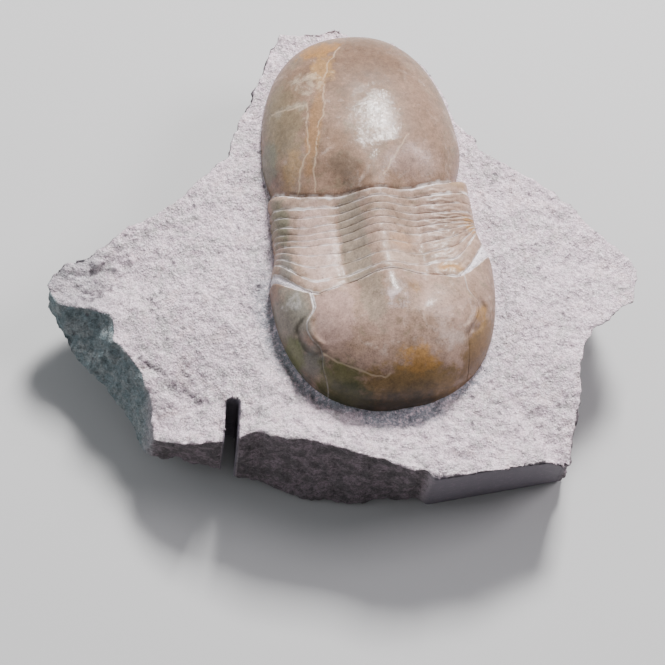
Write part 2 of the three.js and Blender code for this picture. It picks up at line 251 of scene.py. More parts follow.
@dataclass(frozen=True)
class BodyShape:
    """The smooth outer surface of the animal, above the bed that it lies on.

    A crest is (place along, height). A curve is two exponents: a squarer one, a steeper one.
    The notch is (left, right) deep and reaches (to the tail, to the head). The lobes of the
    thorax fade between two places past its last seam, and between two before its first.
    """

    origin: Place = (5.95, -4.3)
    turn: float = math.radians(7)
    embed: float = 1.2
    tail_end: float = 45.0
    tail_corner: float = 17.0
    waist: float = 5.0
    head_corner: float = -2.2
    head_end: float = -26.3
    tail_half: float = 17.7
    waist_half: float = THORAX_HALF
    head_half: float = 19.7
    fullness: float = 2.4
    tail_crest: Place = (14.0, 12.0)
    waist_crest: Place = (3.0, 11.2)
    head_crest: Place = (-9.5, 13.0)
    lobe_half: float = 7.2
    lobe_height: float = 3.8
    dome_curve: Place = (2.3, 0.55)
    flank_curve: Place = (5, 0.5)
    lobes_back: Place = (-2.0, 9.0)
    lobes_front: Place = (-10.0, 2.0)
    notch: Place = (2.2, 1.0)
    notch_spread: Place = (6.0, 2.2)

    @property
    def bed(self) -> float:
        """Height of the bed: the plates' undersides in the frame are sunk below it."""
        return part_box("pygidium")[0].z / MM + self.embed

    def half_width(self, t: np.ndarray, s: np.ndarray | float = 0.0) -> np.ndarray:
        """Half the body's width, with the notch where the tail shield meets the thorax.

        Args:
            t: Places along the body.
            s: Places across it: the notch is deeper where s is above 0, and left out where it's 0.

        Returns:
            The half width at each place.
        """
        deep = np.where(s > 0, self.notch[0], np.where(s < 0, self.notch[1], 0.0))
        past = t - SEAMS[0].at(s)
        spread = np.where(past > 0, *self.notch_spread)
        notch = deep * (1 - np.minimum(np.abs(past) / spread, 1)) ** 2
        tail = (t - self.tail_corner) / (self.tail_end - self.tail_corner)
        head = (t - self.head_corner) / (self.head_end - self.head_corner)
        waist = np.where(
            t > self.waist,
            blend(self.waist_half, self.tail_half, rise(t, self.waist, self.tail_corner)),
            blend(self.head_half, self.waist_half, rise(t, self.head_corner, self.waist)),
        )
        half = np.where(t > self.tail_corner, self.tail_half * round_off(tail, self.fullness), waist)
        half = np.where(t < self.head_corner, self.head_half * round_off(head, self.fullness), half)
        return half - notch

    def margin(self, s: np.ndarray, end: float) -> np.ndarray:
        """Where the round margin of the tail or the head lies.

        Args:
            s: Places across the body.
            end: tail_end or head_end.

        Returns:
            The margin's place along the body.
        """
        half, corner = self.head_half, self.head_corner
        if end > 0:
            half, corner = self.tail_half, self.tail_corner
        return corner + (end - corner) * round_off(np.abs(s) / half, self.fullness)

    def crest(self, t: np.ndarray) -> np.ndarray:
        """Returns the height of the body's middle line at places along it."""
        tail = (t - self.tail_crest[0]) / (self.tail_end - self.tail_crest[0])
        head = (t - self.head_crest[0]) / (self.head_end - self.head_crest[0])
        low = self.waist_crest[1]
        middle = np.where(
            t > self.waist_crest[0],
            blend(low, self.tail_crest[1], rise(t, self.waist_crest[0], self.tail_crest[0])),
            blend(self.head_crest[1], low, rise(t, self.head_crest[0], self.waist_crest[0])),
        )
        ended = np.where(t > self.tail_crest[0], self.tail_crest[1] * round_off(tail), middle)
        return np.where(t < self.head_crest[0], self.head_crest[1] * round_off(head), ended)

    def height(self, s: np.ndarray, t: np.ndarray) -> np.ndarray:
        """Height of the smooth surface above the bed.

        Args:
            s: Places across the body.
            t: Places along it.

        Returns:
            The height, which is 0 outside the body.
        """
        share = np.clip(np.abs(s) / np.maximum(self.half_width(t, s), 0.05), 0, 1)
        crest = self.crest(t)
        dome = crest * (1 - share ** self.dome_curve[0]) ** self.dome_curve[1]
        arch = np.cos(math.pi / 2 * np.minimum(1, np.abs(s) / self.lobe_half)) ** 2
        flank = (1 - share ** self.flank_curve[0]) ** self.flank_curve[1]
        flat = np.maximum(crest - self.lobe_height, 0) * flank
        lobed = flat + self.lobe_height * arch * np.sqrt(1 - share**2)
        front, back = SEAMS[-1].axis, SEAMS[0].axis
        until = 1 - rise(t, back + self.lobes_back[0], back + self.lobes_back[1])
        lobing = until * rise(t, front + self.lobes_front[0], front + self.lobes_front[1])
        return blend(dome, lobed, lobing)

    def on_block(self, s: np.ndarray, t: np.ndarray, height: np.ndarray) -> np.ndarray:
        """Points of the body in the block's frame.

        Args:
            s: Places across the body.
            t: Places along it.
            height: Heights above the bed.

        Returns:
            The points, one a row, in millimetres.
        """
        cos, sin = math.cos(self.turn), math.sin(self.turn)
        x = self.origin[0] + s * cos - t * sin
        y = self.origin[1] + s * sin + t * cos
        return np.stack([x, y, self.bed + height], axis=-1)

    def in_body(self, x: np.ndarray, y: np.ndarray) -> tuple[np.ndarray, np.ndarray]:
        """Returns s and t of places on the block."""
        cos, sin = math.cos(self.turn), math.sin(self.turn)
        dx, dy = x - self.origin[0], y - self.origin[1]
        return dx * cos + dy * sin, dy * cos - dx * sin

    def outside(self, s: np.ndarray, t: np.ndarray) -> np.ndarray:
        """Returns about how far places are outside the body's margin, below 0 inside it."""
        middle = (self.tail_end + self.head_end) / 2
        inner = np.clip(t, self.head_end + 0.3, self.tail_end - 0.3)
        beside = np.abs(s) - self.half_width(inner)
        beyond = np.abs(t - middle) - (self.tail_end - middle)
        spread = np.hypot(np.maximum(beside, 0), np.maximum(beyond, 0))
        return np.where((beside > 0) | (beyond > 0), spread, np.maximum(beside, beyond))


SHAPE = BodyShape()
FITTING_ROUNDS = 6  # a plate's grid and the outline depend on each other, so they are found in turns
HEAD_ROUNDS = 30  # the same between a suture and the margin, where it settles more slowly
HEAD_STEP = 0.6  # how far each of those turns moves the grid towards its new place


# ------------------------------------------------------------------ meshes

MERGE = 2e-6  # metres under which two vertices of a plate are one
CREASE = math.radians(50)  # the angle from which an edge is shaded sharp


def object_from(name: str, mesh: bpy.types.Mesh) -> bpy.types.Object:
    """Puts a mesh in the scene as an object of its own.

    Args:
        name: The object's name.
        mesh: Its mesh.

    Returns:
        The object, at the origin.
    """
    made = bpy.data.objects.new(name, mesh)
    bpy.context.scene.collection.objects.link(made)
    return made


def write_values(mesh: bpy.types.Mesh, name: str, values: np.ndarray) -> None:
    """Stores a number, or three, at each vertex.

    Args:
        mesh: The mesh.
        name: The attribute's name.
        values: One number or one row of three for each vertex.
    """
    kind = "FLOAT" if values.ndim == 1 else "FLOAT_VECTOR"
    field_name = "value" if values.ndim == 1 else "vector"
    store = mesh.attributes.new(name, kind, "POINT")
    store.data.foreach_set(field_name, values.astype(np.float32).ravel())


def vertex_places(mesh: bpy.types.Mesh) -> np.ndarray:
    """Returns the vertices of a mesh, one a row, in millimetres."""
    flat = np.empty(len(mesh.vertices) * 3, np.float32)
    mesh.vertices.foreach_get("co", flat)
    return flat.reshape(-1, 3).astype(float) / MM


def lump(
    name: str,
    s: np.ndarray,
    t: np.ndarray,
    height: np.ndarray,
    floor: float,
    values: dict[str, np.ndarray],
) -> bpy.types.Mesh:
    """A closed lump: a grid draped over the body, with a wall down from its rim and a flat base.

    Args:
        name: The mesh's name.
        s: Places across the body, as a grid.
        t: Places along it, as a grid.
        height: Heights above the bed, as a grid.
        floor: Height of the base.
        values: Further grids, each stored as an attribute by its name.

    Returns:
        The mesh, in metres, with an attribute "place" that holds s, t and the height.
    """
    rows, columns = s.shape
    numbers = np.arange(rows * columns).reshape(rows, columns)
    rim = np.concatenate(
        [numbers[0, :-1], numbers[:-1, -1], numbers[-1, :0:-1], numbers[:0:-1, 0]]
    )
    flat_s, flat_t, flat_height = s.ravel(), t.ravel(), height.ravel()
    low = np.full(len(rim), floor)
    top = SHAPE.on_block(flat_s, flat_t, flat_height)
    base = SHAPE.on_block(flat_s[rim], flat_t[rim], low)
    quads = np.stack(
        [numbers[:-1, :-1], numbers[:-1, 1:], numbers[1:, 1:], numbers[1:, :-1]], axis=-1
    ).reshape(-1, 4)
    below = len(top) + np.arange(len(rim))
    walls = np.stack([np.roll(rim, -1), rim, below, np.roll(below, -1)], axis=-1)
    faces = quads.tolist() + walls.tolist() + [below[::-1].tolist()]
    mesh = bpy.data.meshes.new(name)
    mesh.from_pydata((np.vstack([top, base]) * MM).tolist(), [], faces)
    place = np.stack([flat_s, flat_t, flat_height], axis=-1)
    foot = np.stack([flat_s[rim], flat_t[rim], low], axis=-1)
    write_values(mesh, "place", np.vstack([place, foot]))
    for key, grid in values.items():
        write_values(mesh, key, np.concatenate([grid.ravel(), grid.ravel()[rim]]))
    work = bmesh.new()
    work.from_mesh(mesh)
    bmesh.ops.remove_doubles(work, verts=work.verts, dist=MERGE)
    bmesh.ops.recalc_face_normals(work, faces=work.faces)
    work.to_mesh(mesh)
    work.free()
    mesh.shade_smooth()
    mesh.set_sharp_from_angle(angle=CREASE)
    return mesh


def dense(count: int) -> np.ndarray:
    """Returns places from -1 to 1 that crowd towards both ends."""
    return np.sin(np.linspace(-1, 1, count) * math.pi / 2)


def film_near(away: np.ndarray, seam: Seam, s: np.ndarray, t: np.ndarray) -> np.ndarray:
    """The pale lime in a seam: ragged at its edge, patchy, and thin on the raised middle lobe.

    Args:
        away: Distance from the seam.
        seam: The seam, which says how wide and how white the lime is.
        s: Places across the body.
        t: Places along it.

    Returns:
        How white the surface is, from 0 to 1.
    """
    fray, fray_length = 0.55, 1.7
    patch, patch_length, patch_seed = 0.9, 4.2, 3
    on_lobe, core = 0.45, 0.35
    ragged = seam.film * (1 + fray * ripple(s, t, fray_length, seam.axis))
    patchy = np.clip(0.8 + patch * ripple(s, t, patch_length, seam.axis + patch_seed), 0, 1)
    thin = on_lobe + (1 - on_lobe) * rise(np.abs(s), 4.5, 8.5)
    return seam.lime * patchy * thin * (1 - rise(away, core * ragged, ragged))


def roll(away: np.ndarray, depth: float, width: float) -> np.ndarray:
    """Returns how far a plate is rolled down at places away from its edge, from width inwards."""
    return depth * (1 - np.clip(away / width, 0, 1)) ** 2


def uneven(height: np.ndarray, s: np.ndarray, t: np.ndarray, wave: Wave) -> np.ndarray:
    """A slight unevenness that dies out towards the margin.

    Args:
        height: Heights above the bed.
        s: Places across the body.
        t: Places along it.
        wave: How high the unevenness is, how long, and its seed.

    Returns:
        What is added to the height.
    """
    swing, length, seed = wave
    return swing * ripple(s, t, length, seed) * np.minimum(1, height / 2)


def furrow_mask(furrows: Sequence[Sequence[Place]], s: np.ndarray, t: np.ndarray) -> np.ndarray:
    """Where the furrows are, which are sunk and darkened with painted shade.

    Args:
        furrows: Each furrow's line of places.
        s: Places across the body.
        t: Places along it.

    Returns:
        1 in a furrow, 0 away from all of them.
    """
    wander, wander_length, width = 0.15, 1.3, 0.62
    found = np.zeros(s.shape)
    for number, points in enumerate(furrows):
        away = line_distance(points, s, t) + wander * ripple(s, t, wander_length, number)
        found = np.maximum(found, 1 - rise(away, 0.0, width))
    return found


FURROW_DEPTH = 0.14
CRACK_DEPTH = 0.04
PLATE_SINK = 0.9  # how far a plate goes on below the CAD plate's underside, into the rock


def make_plate(
    node: str,
    material: bpy.types.Material,
    s: np.ndarray,
    t: np.ndarray,
    height: np.ndarray,
    film: np.ndarray,
    cracks: Sequence[Sequence[Place]] = (),
    furrows: Sequence[Sequence[Place]] = (),
) -> bpy.types.Object:
    """Makes the piece of one plate of the armour.

    Args:
        node: The CAD node that it stands for.
        material: Its finish.
        s: Places across the body, as a grid.
        t: Places along it, as a grid.
        height: Heights above the bed, as a grid.
        film: How white the lime in the seams shows, as a grid.
        cracks: Healed cracks, each a line of places.
        furrows: Furrows, each a line of places, sunk and darkened with painted shade.

    Returns:
        The piece, which rides on the body.
    """
    crack = HEALED_CRACK.mask(cracks, s, t)
    furrow = furrow_mask(furrows, s, t)
    height = height - FURROW_DEPTH * furrow - CRACK_DEPTH * crack
    values = {"film": film, "crack": crack, "furrow": furrow}
    mesh = lump(node, s, t, height, -SHAPE.embed - PLATE_SINK, values)
    mesh.materials.append(material)
    made = object_from(node + "_piece", mesh)
    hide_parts(node)
    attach(made, BODY)
    LOG.info("%s: %d faces", made.name, len(mesh.polygons))
    return made


# ------------------------------------------------------------------ the armour

GAP = 0.03  # half the hairline between two plates


@dataclass
class TailShield:
    """The smooth tail shield."""

    columns: int = 230
    rows: int = 200
    front_roll: Place = (0.55, 0.9)
    hollow: Swell = Swell((5.6, 13.4), (1.9, 3.2), -0.22)
    wave: Wave = (0.03, 5.2, 1.0)
    cracks: tuple[tuple[Place, ...], ...] = (
        ((-9.1, 29.2), (-9.6, 25.2), (-10.3, 19.6), (-11.7, 17.4), (-12.5, 15.2), (-12.9, 12.6)),
        (
            (-1.3, 41.0),
            (-3.5, 37.8),
            (-5.0, 34.5),
            (-6.1, 29.8),
            (-6.5, 26.4),
            (-7.9, 24.0),
            (-8.7, 20.2),
            (-9.7, 16.5),
            (-9.9, 12.2),
        ),
        ((7.9, 20.6), (6.3, 19.0), (4.1, 16.0), (2.1, 13.0)),
        ((-9.1, 29.2), (-11.9, 29.2), (-14.9, 29.8)),
    )

    def build(self, material: bpy.types.Material) -> bpy.types.Object:
        """Builds the shield as meridians that meet at the tail's end.

        Args:
            material: The shield's finish.

        Returns:
            The piece.
        """
        across, along = np.meshgrid(dense(self.columns), np.linspace(0, 1, self.rows))
        along = np.sin(along * math.pi / 2)
        s = across * SHAPE.tail_half
        for _ in range(FITTING_ROUNDS):
            t = blend(SEAMS[0].at(s) + GAP, SHAPE.tail_end, along)
            s = across * SHAPE.half_width(t, s)
        away = t - SEAMS[0].at(s)
        height = SHAPE.height(s, t) - roll(away, *self.front_roll)
        height += self.hollow.at(np.abs(s), t)
        height += uneven(height, s, t, self.wave)
        film = film_near(away, SEAMS[0], s, t)
        return make_plate(
            "pygidium", material, s, t, np.maximum(height, 0), film, self.cracks
        )


@dataclass
class Thorax:
    """The rings of the thorax, numbered from the head.

    A roll is (depth, width). The tips are rounded, more so from the sixth ring on. The worn
    stretch of the right flank and the wrinkled stretch of the left one are given by how far
    out they begin and end. The dimple's place along the body is a share of the ring's length.
    """

    columns: int = 210
    rows: int = 24
    tip: float = 0.3
    tip_growth: float = 0.12
    front_roll: Place = (0.13, 0.22)
    back_roll: Place = (0.08, 0.18)
    first_roll: Place = (0.16, 1.2)
    bulge: Place = (0.16, 0.1)
    back_step: float = 0.1
    worn: float = 0.6
    worn_from: Place = (6.0, 8.0)
    worn_to: Place = (13.5, 15.5)
    on_lobe: float = 0.6
    lobe_to: Place = (4.5, 8.0)
    wrinkle: float = 0.05
    wrinkled_from: Place = (7.0, 11.0)
    lobe_groove: Place = (0.22, 0.8)
    dimple: Swell = Swell((6.3, 0.4), (0.5, 0.3), -0.3)
    dimpled: tuple[int, ...] = (3, 9)
    faint: float = 0.15
    wave: Place = (0.05, 2.6)

    def build(self, material: bpy.types.Material) -> list[bpy.types.Object]:
        """Builds every ring in the rings' finish, and returns the pieces."""
        count = len(SEAMS) - 1
        return [self.ring(count - i, SEAMS[i], SEAMS[i + 1], material) for i in range(count)]

    def ring(
        self, number: int, back: Seam, front: Seam, material: bpy.types.Material
    ) -> bpy.types.Object:
        """Builds one ring: convex along the body, with its back edge over the next ring.

        Args:
            number: The ring's number, counted from the head.
            back: The seam on its tail side.
            front: The seam on its head side.
            material: Its finish.

        Returns:
            The piece.
        """
        across, along = np.meshgrid(dense(self.columns), (dense(self.rows) + 1) / 2)
        s = across * SHAPE.waist_half
        tip = self.tip + self.tip_growth * max(number - 5, 0)
        for _ in range(FITTING_ROUNDS):
            t = blend(front.at(s) + GAP, back.at(s) - GAP, along)
            s = across * (SHAPE.half_width(t, s) - tip * np.abs(2 * along - 1) ** 3 * across**8)
        to_front, to_back = t - front.at(s), back.at(s) - t
        height = self.relief(number, s, t, to_front, to_back)
        film = np.maximum(film_near(to_front, front, s, t), film_near(to_back, back, s, t))
        node = f"thorax_ring_{number:02d}"
        return make_plate(node, material, s, t, height, film)

    def relief(
        self, number: int, s: np.ndarray, t: np.ndarray, to_front: np.ndarray, to_back: np.ndarray
    ) -> np.ndarray:
        """Height of one ring: convex, rolled at its edges, wrinkled on its left flank and dimpled.

        Args:
            number: The ring's number.
            s: Places across the body.
            t: Places along it.
            to_front: Distance from the seam on the head side.
            to_back: Distance from the seam on the tail side.

        Returns:
            The height above the bed.
        """
        length = to_front + to_back
        share = to_front / length
        height = SHAPE.height(s, t)
        plump = 1 - self.worn * rise(-s, *self.worn_from) * (1 - rise(-s, *self.worn_to))
        plump *= self.on_lobe + (1 - self.on_lobe) * rise(np.abs(s), *self.lobe_to)
        bulge = np.minimum(self.bulge[0], self.bulge[1] * length)
        height += plump * (bulge * (1 - (2 * share - 1) ** 2) + self.back_step * (share - 0.5))
        height -= plump * (roll(to_front, *self.front_roll) + roll(to_back, *self.back_roll))
        if number == 1:
            height -= roll(to_front, *self.first_roll)
        turns = 1.5 * share + 0.16 * s + 0.5 * ripple(s, t, 3.0, number)
        height += self.wrinkle * np.sin(2 * math.pi * turns) * rise(s, *self.wrinkled_from)
        groove, groove_width = self.lobe_groove
        height -= groove * np.exp(-(((np.abs(s) - SHAPE.lobe_half) / groove_width) ** 2))
        height += self.dimple.at(s, share) * (1.0 if number in self.dimpled else self.faint)
        height += uneven(height, s, t, (*self.wave, number))
        return np.maximum(height, 0)


@dataclass
class Head:
    """The head: its middle, and the two free cheeks outside the facial sutures.

    The eye lies between two places along the body. Its ridge and its groove are given by their
    height, how far they are outside the suture, and their width. A roll is (depth, width).
    """

    sutures: dict[Side, tuple[Place, ...]]
    columns: int = 190
    rows: int = 170
    cheek_columns: int = 70
    eye: Place = (-16.6, -10.8)
    eye_ridge: tuple[float, float, float] = (0.55, -0.35, 0.75)
    eye_groove: tuple[float, float, float] = (-0.6, 1.25, 0.6)
    back_roll: Place = (0.26, 0.5)
    suture_depth: dict[Side, float] = field(default_factory=lambda: {Side.RIGHT: 0.16, Side.LEFT: 0.05})
    suture_width: float = 0.3
    suture_back: float = -5
    lobe_furrow: Swell = Swell((5.4, -9.0), (1.3, 5.5), -0.16)
    swells: tuple[Swell, ...] = (
        Swell((3.9, -9.0), (0.6, 0.6), -0.3),
        Swell((0.8, -10.0), (2.6, 2.2), 0.25),
    )
    wave: Wave = (0.05, 4.4, 2.0)
    brow_line: tuple[Place, ...] = (
        (-12.9, -17.6),
        (-10.6, -19.8),
        (-8.9, -20.7),
        (-7.3, -21.6),
        (-5.3, -22.7),
        (-3.1, -23.2),
        (-1.9, -22.9),
    )
    # the furrows outside the eyes, sunk and darkened with painted shade
    furrows: tuple[tuple[Place, ...], ...] = (
        ((-16.6, -11.8), (-16.3, -13.6), (-15.5, -15.6), (-14.4, -17.0), (-12.6, -17.5)),
    )

    def suture(self, side: Side, t: np.ndarray) -> np.ndarray:
        """Returns how far from the middle one side's suture runs, at places along the body."""
        return soft_line(self.sutures[side], t)

    def relief(self, s: np.ndarray, t: np.ndarray, side: Side | None) -> np.ndarray:
        """The head's height, with its eyes, its furrows and the roll at its back edge.

        Args:
            s: Places across the body.
            t: Places along it.
            side: The cheek that it is, or None for the middle of the head.

        Returns:
            The height above the bed.
        """
        height = SHAPE.height(s, t) - roll(HEAD_BACK.at(s) - t, *self.back_roll)
        front, back = self.eye
        window = rise(t, front - 0.6, front + 1) * (1 - rise(t, back - 1, back + 0.6))
        for eye_side in Side:
            beyond = s * eye_side.value - self.suture(eye_side, t)
            for swell, centre, reach in (self.eye_ridge, self.eye_groove):
                height += swell * window * np.exp(-(((beyond - centre) / reach) ** 2))
            if side in (None, eye_side):
                sunk = roll(np.abs(beyond), self.suture_depth[eye_side], self.suture_width)
                height -= sunk * (t < self.suture_back)
        height += self.lobe_furrow.at(np.abs(s), t)
        for swell in self.swells:
            height += swell.at(s, t)
        height += uneven(height, s, t, self.wave)
        return np.maximum(height, 0)

    def film(self, s: np.ndarray, t: np.ndarray) -> np.ndarray:
        """How white the lime in the head's seams shows.

        Args:
            s: Places across the body.
            t: Places along it.

        Returns:
            The film, from 0 to 1.
        """
        film = film_near(HEAD_BACK.at(s) - t, HEAD_BACK, s, t)
        for side in Side:
            away = np.abs(s * side.value - self.suture(side, t))
            if side is Side.RIGHT:  # lime all along it, widest near the thorax
                wide = 0.14 + 0.3 * rise(t, -12.5, -9)
                shown = 0.3 + 0.7 * rise(t, -17, -10)
            else:  # lime near the thorax only
                wide = 0.10
                shown = 0.6 * rise(t, -12, -9)
            film = np.maximum(film, shown * (1 - rise(away, 0.3 * wide, wide)))
        return film

    def middle(self, material: bpy.types.Material) -> bpy.types.Object:
        """Builds the middle of the head, between the two sutures.

        Args:
            material: The head's finish.

        Returns:
            The piece.
        """
        across, along = np.meshgrid(dense(self.columns), np.linspace(0, 1, self.rows))
        along = np.sin(along * math.pi / 2)
        t = blend(-6.0, SHAPE.head_end, along)
        for _ in range(HEAD_ROUNDS):
            right = -self.suture(Side.RIGHT, t) + GAP
            left = self.suture(Side.LEFT, t) - GAP
            s = blend(right, left, (across + 1) / 2)
            back, front = HEAD_BACK.at(s) - GAP, SHAPE.margin(s, SHAPE.head_end)
            t = blend(t, blend(back, front, along), HEAD_STEP)
        return make_plate(
            "cranidium",
            material,
            s,
            t,
            self.relief(s, t, None),
            self.film(s, t),
            (self.brow_line,),
            self.furrows,
        )

    def cheek(self, side: Side, material: bpy.types.Material) -> bpy.types.Object:
        """Builds one free cheek, from its suture out to the margin.

        Args:
            side: Which cheek.
            material: The head's finish.

        Returns:
            The piece.
        """
        meeting = self.meeting(side)
        outwards = np.sin(np.linspace(0, 1, self.cheek_columns) * math.pi / 2)
        across, along = np.meshgrid(outwards, np.linspace(0, 1, self.rows))
        t = blend(-4.0, meeting, along)
        for _ in range(HEAD_ROUNDS):
            inner = self.suture(side, t) + GAP
            s = side.value * blend(inner, np.maximum(SHAPE.half_width(t), inner), across)
            t = blend(t, blend(HEAD_BACK.at(s) - GAP, meeting, along), HEAD_STEP)
        return make_plate(
            f"free_cheek_{side.name.lower()}",
            material,
            s,
            t,
            self.relief(s, t, side),
            self.film(s, t),
            furrows=self.furrows,
        )

    def meeting(self, side: Side) -> float:
        """Returns the place along the body where a suture runs out at the margin."""
        t = np.linspace(-15, SHAPE.head_end, 2000)
        out = self.suture(side, t) + GAP > SHAPE.half_width(t)
        return float(t[np.argmax(out)])

    def build(self, material: bpy.types.Material) -> list[bpy.types.Object]:
        """Builds the head's three plates in its finish, and returns the pieces."""
        return [self.middle(material)] + [self.cheek(side, material) for side in Side]


SUTURES = {
    Side.RIGHT: (
        (11.6, -26.5),
        (12.6, -21.8),
        (13.3, -19.5),
        (13.1, -17.0),
        (14.7, -14.8),
        (15.3, -12.7),
        (14.9, -11.3),
        (13.4, -10.0),
        (13.6, -6.0),
        (13.6, 0.0),
    ),
    Side.LEFT: (
        (11.6, -26.5),
        (12.3, -21.0),
        (12.6, -16.6),
        (14.2, -15.0),
        (15.2, -12.8),
        (14.8, -11.0),
        (13.5, -9.6),
        (13.4, -6.0),
        (13.4, 0.0),
    ),
}


# ------------------------------------------------------------------ node trees


class Net:
    """A node tree being built: it adds nodes and joins their sockets."""

    def __init__(self, tree: bpy.types.NodeTree) -> None:
        """Starts on a material's, a group's or a modifier's tree."""
        self.tree = tree

    def add(
        self, kind: str, inputs: dict[str | int, object] | None = None, **settings: object
    ) -> bpy.types.Node:
        """Adds a node.

        Args:
            kind: The node's type.
            inputs: A value, or another node's socket, for each input by name or number.
            settings: The node's own settings.

        Returns:
            The node.
        """
        node = self.tree.nodes.new(kind)
        for name, value in settings.items():
            setattr(node, name, value)
        for key, value in (inputs or {}).items():
            if isinstance(value, bpy.types.NodeSocket):
                self.tree.links.new(value, node.inputs[key])
            else:
                node.inputs[key].default_value = value
        return node

    def math(self, operation: str, a: object, b: object, clamp: bool = False) -> bpy.types.NodeSocket:
        """Adds a Math node and returns its output."""
        node = self.add("ShaderNodeMath", {0: a, 1: b}, operation=operation, use_clamp=clamp)
        return node.outputs[0]

    def plus(self, a: object, b: object, clamp: bool = False) -> bpy.types.NodeSocket:
        """Returns a + b, kept to 0 to 1 if clamp is set."""
        return self.math("ADD", a, b, clamp)

    def minus(self, a: object, b: object) -> bpy.types.NodeSocket:
        """Returns a - b."""
        return self.math("SUBTRACT", a, b)

    def times(self, a: object, b: object, clamp: bool = False) -> bpy.types.NodeSocket:
        """Returns a * b, kept to 0 to 1 if clamp is set."""
        return self.math("MULTIPLY", a, b, clamp)

    def over(self, a: object, b: object) -> bpy.types.NodeSocket:
        """Returns a / b."""
        return self.math("DIVIDE", a, b)

    def vector(self, operation: str, a: object, b: object) -> bpy.types.NodeSocket:
        """Adds a Vector Math node and returns its vector; a SCALE's b is its factor."""
        second = 3 if operation == "SCALE" else 1
        return self.add("ShaderNodeVectorMath", {0: a, second: b}, operation=operation).outputs[0]

    def join(self, socket: bpy.types.NodeSocket, shader: bpy.types.Node, name: str) -> None:
        """Joins an output to one of a shader's inputs, by name."""
        self.tree.links.new(socket, shader.inputs[name])

    def span(
        self, value: object, low: float, high: float, to_low: float = 0.0, to_high: float = 1.0
    ) -> bpy.types.NodeSocket:
        """Adds a smooth Map Range node and returns its output."""
        node = self.add(
            "ShaderNodeMapRange",
            {0: value, 1: low, 2: high, 3: to_low, 4: to_high},
            interpolation_type="SMOOTHSTEP",
        )
        return node.outputs[0]

    def mix(self, share: object, a: object, b: object, way: str = "MIX") -> bpy.types.NodeSocket:
        """Adds a Mix node for colours.

        Args:
            share: How much of the second colour there is.
            a: The first colour, or its socket.
            b: The second colour, or its socket.
            way: The Mix node's blend type.

        Returns:
            The mixed colour.
        """
        node = self.add("ShaderNodeMix", data_type="RGBA", blend_type=way)
        for socket, value in ((node.inputs[0], share), (node.inputs[6], a), (node.inputs[7], b)):
            if isinstance(value, bpy.types.NodeSocket):
                self.tree.links.new(value, socket)
            else:
                socket.default_value = (*value, 1.0) if isinstance(value, tuple) else value
        return node.outputs[2]

    def noise(
        self, vector: object, scale: float, detail: float = 3.0, roughness: float = 0.55, twist: float = 0.0
    ) -> bpy.types.NodeSocket:
        """Adds a noise texture and returns its value, which is around a half."""
        node = self.add(
            "ShaderNodeTexNoise",
            {
                "Vector": vector,
                "Scale": scale,
                "Detail": detail,
                "Roughness": roughness,
                "Distortion": twist,
            },
        )
        return node.outputs[0]

    def value(self, name: str) -> bpy.types.NodeSocket:
        """Returns a vertex attribute's value, in a shader."""
        return self.add("ShaderNodeAttribute", attribute_name=name).outputs["Fac"]


def new_group(name: str, kind: str, inputs: dict[str, object], outputs: dict[str, str]) -> Net:
    """Makes an empty node group with named sockets.

    Args:
        name: The group's name.
        kind: ShaderNodeTree or GeometryNodeTree.
        inputs: Each input's name, with its default value or its socket type.
        outputs: Each output's name, with its socket type.

    Returns:
        The group as a net.
    """
    tree = bpy.data.node_groups.new(name, kind)
    for label, value in inputs.items():
        if isinstance(value, str):
            tree.interface.new_socket(label, in_out="INPUT", socket_type=value)
            continue
        kind_of = "NodeSocketVector" if isinstance(value, tuple) else "NodeSocketFloat"
        socket = tree.interface.new_socket(label, in_out="INPUT", socket_type=kind_of)
        socket.default_value = value
    for label, socket_type in outputs.items():
        tree.interface.new_socket(label, in_out="OUTPUT", socket_type=socket_type)
    return Net(tree)


def stain_group() -> bpy.types.NodeTree:
    """Builds and returns the group that gives the mask of one stain, with a ragged edge."""
    net = new_group(
        "Stain",
        "ShaderNodeTree",
        {
            "Place": (0.0, 0.0, 0.0),
            "Centre": (0.0, 0.0, 0.0),
            "Reach": (1.0, 1.0, 100.0),
            "Turn": 0.0,
            "Soft": 0.5,
            "Ragged": 0.35,
        },
        {"Mask": "NodeSocketFloat"},
    )
    given = net.add("NodeGroupInput").outputs
    away = net.vector("SUBTRACT", given["Place"], given["Centre"])
    turning = {"Vector": away, "Angle": given["Turn"]}
    turned = net.add("ShaderNodeVectorRotate", turning, rotation_type="Z_AXIS").outputs[0]
    shrunk = net.vector("DIVIDE", turned, given["Reach"])
    distance = net.add("ShaderNodeVectorMath", {0: shrunk}, operation="LENGTH").outputs[1]
    broad = net.noise(given["Place"], 0.45, 5.0, 0.62)
    wander = net.times(net.minus(broad, 0.5), given["Ragged"])
    ragged = net.plus(distance, net.times(wander, 4.0))
    inner = net.minus(1.0, given["Soft"])
    past = net.over(net.minus(ragged, inner), given["Soft"])
    mask = net.span(past, 0.0, 1.0, 1.0, 0.0)
    net.add("NodeGroupOutput", {"Mask": mask})
    return net.tree


def grain_height(
    net: Net, place: bpy.types.NodeSocket, crumb: object
) -> tuple[bpy.types.NodeSocket, bpy.types.NodeSocket, bpy.types.NodeSocket]:
    """Adds the nodes for the height of crystalline grain, to the group or straight to a material.

    Args:
        net: The tree that they go in.
        place: The place, already scaled by the fineness.
        crumb: How much the crumbs stand out.

    Returns:
        The height, the sand in it and the dust in it.
    """
    sand = net.noise(place, 1.2, 6.0, 0.75)
    dust = net.noise(place, 3.4, 4.0, 0.8)
    cells = net.add("ShaderNodeTexVoronoi", {"Vector": place, "Scale": 1.7, "Randomness": 1.0})
    crumbs = net.span(cells.outputs["Distance"], 0.05, 0.7, 1.0, 0.0)
    height = net.plus(net.plus(sand, net.times(crumbs, crumb)), net.times(dust, 0.5))
    return height, sand, dust


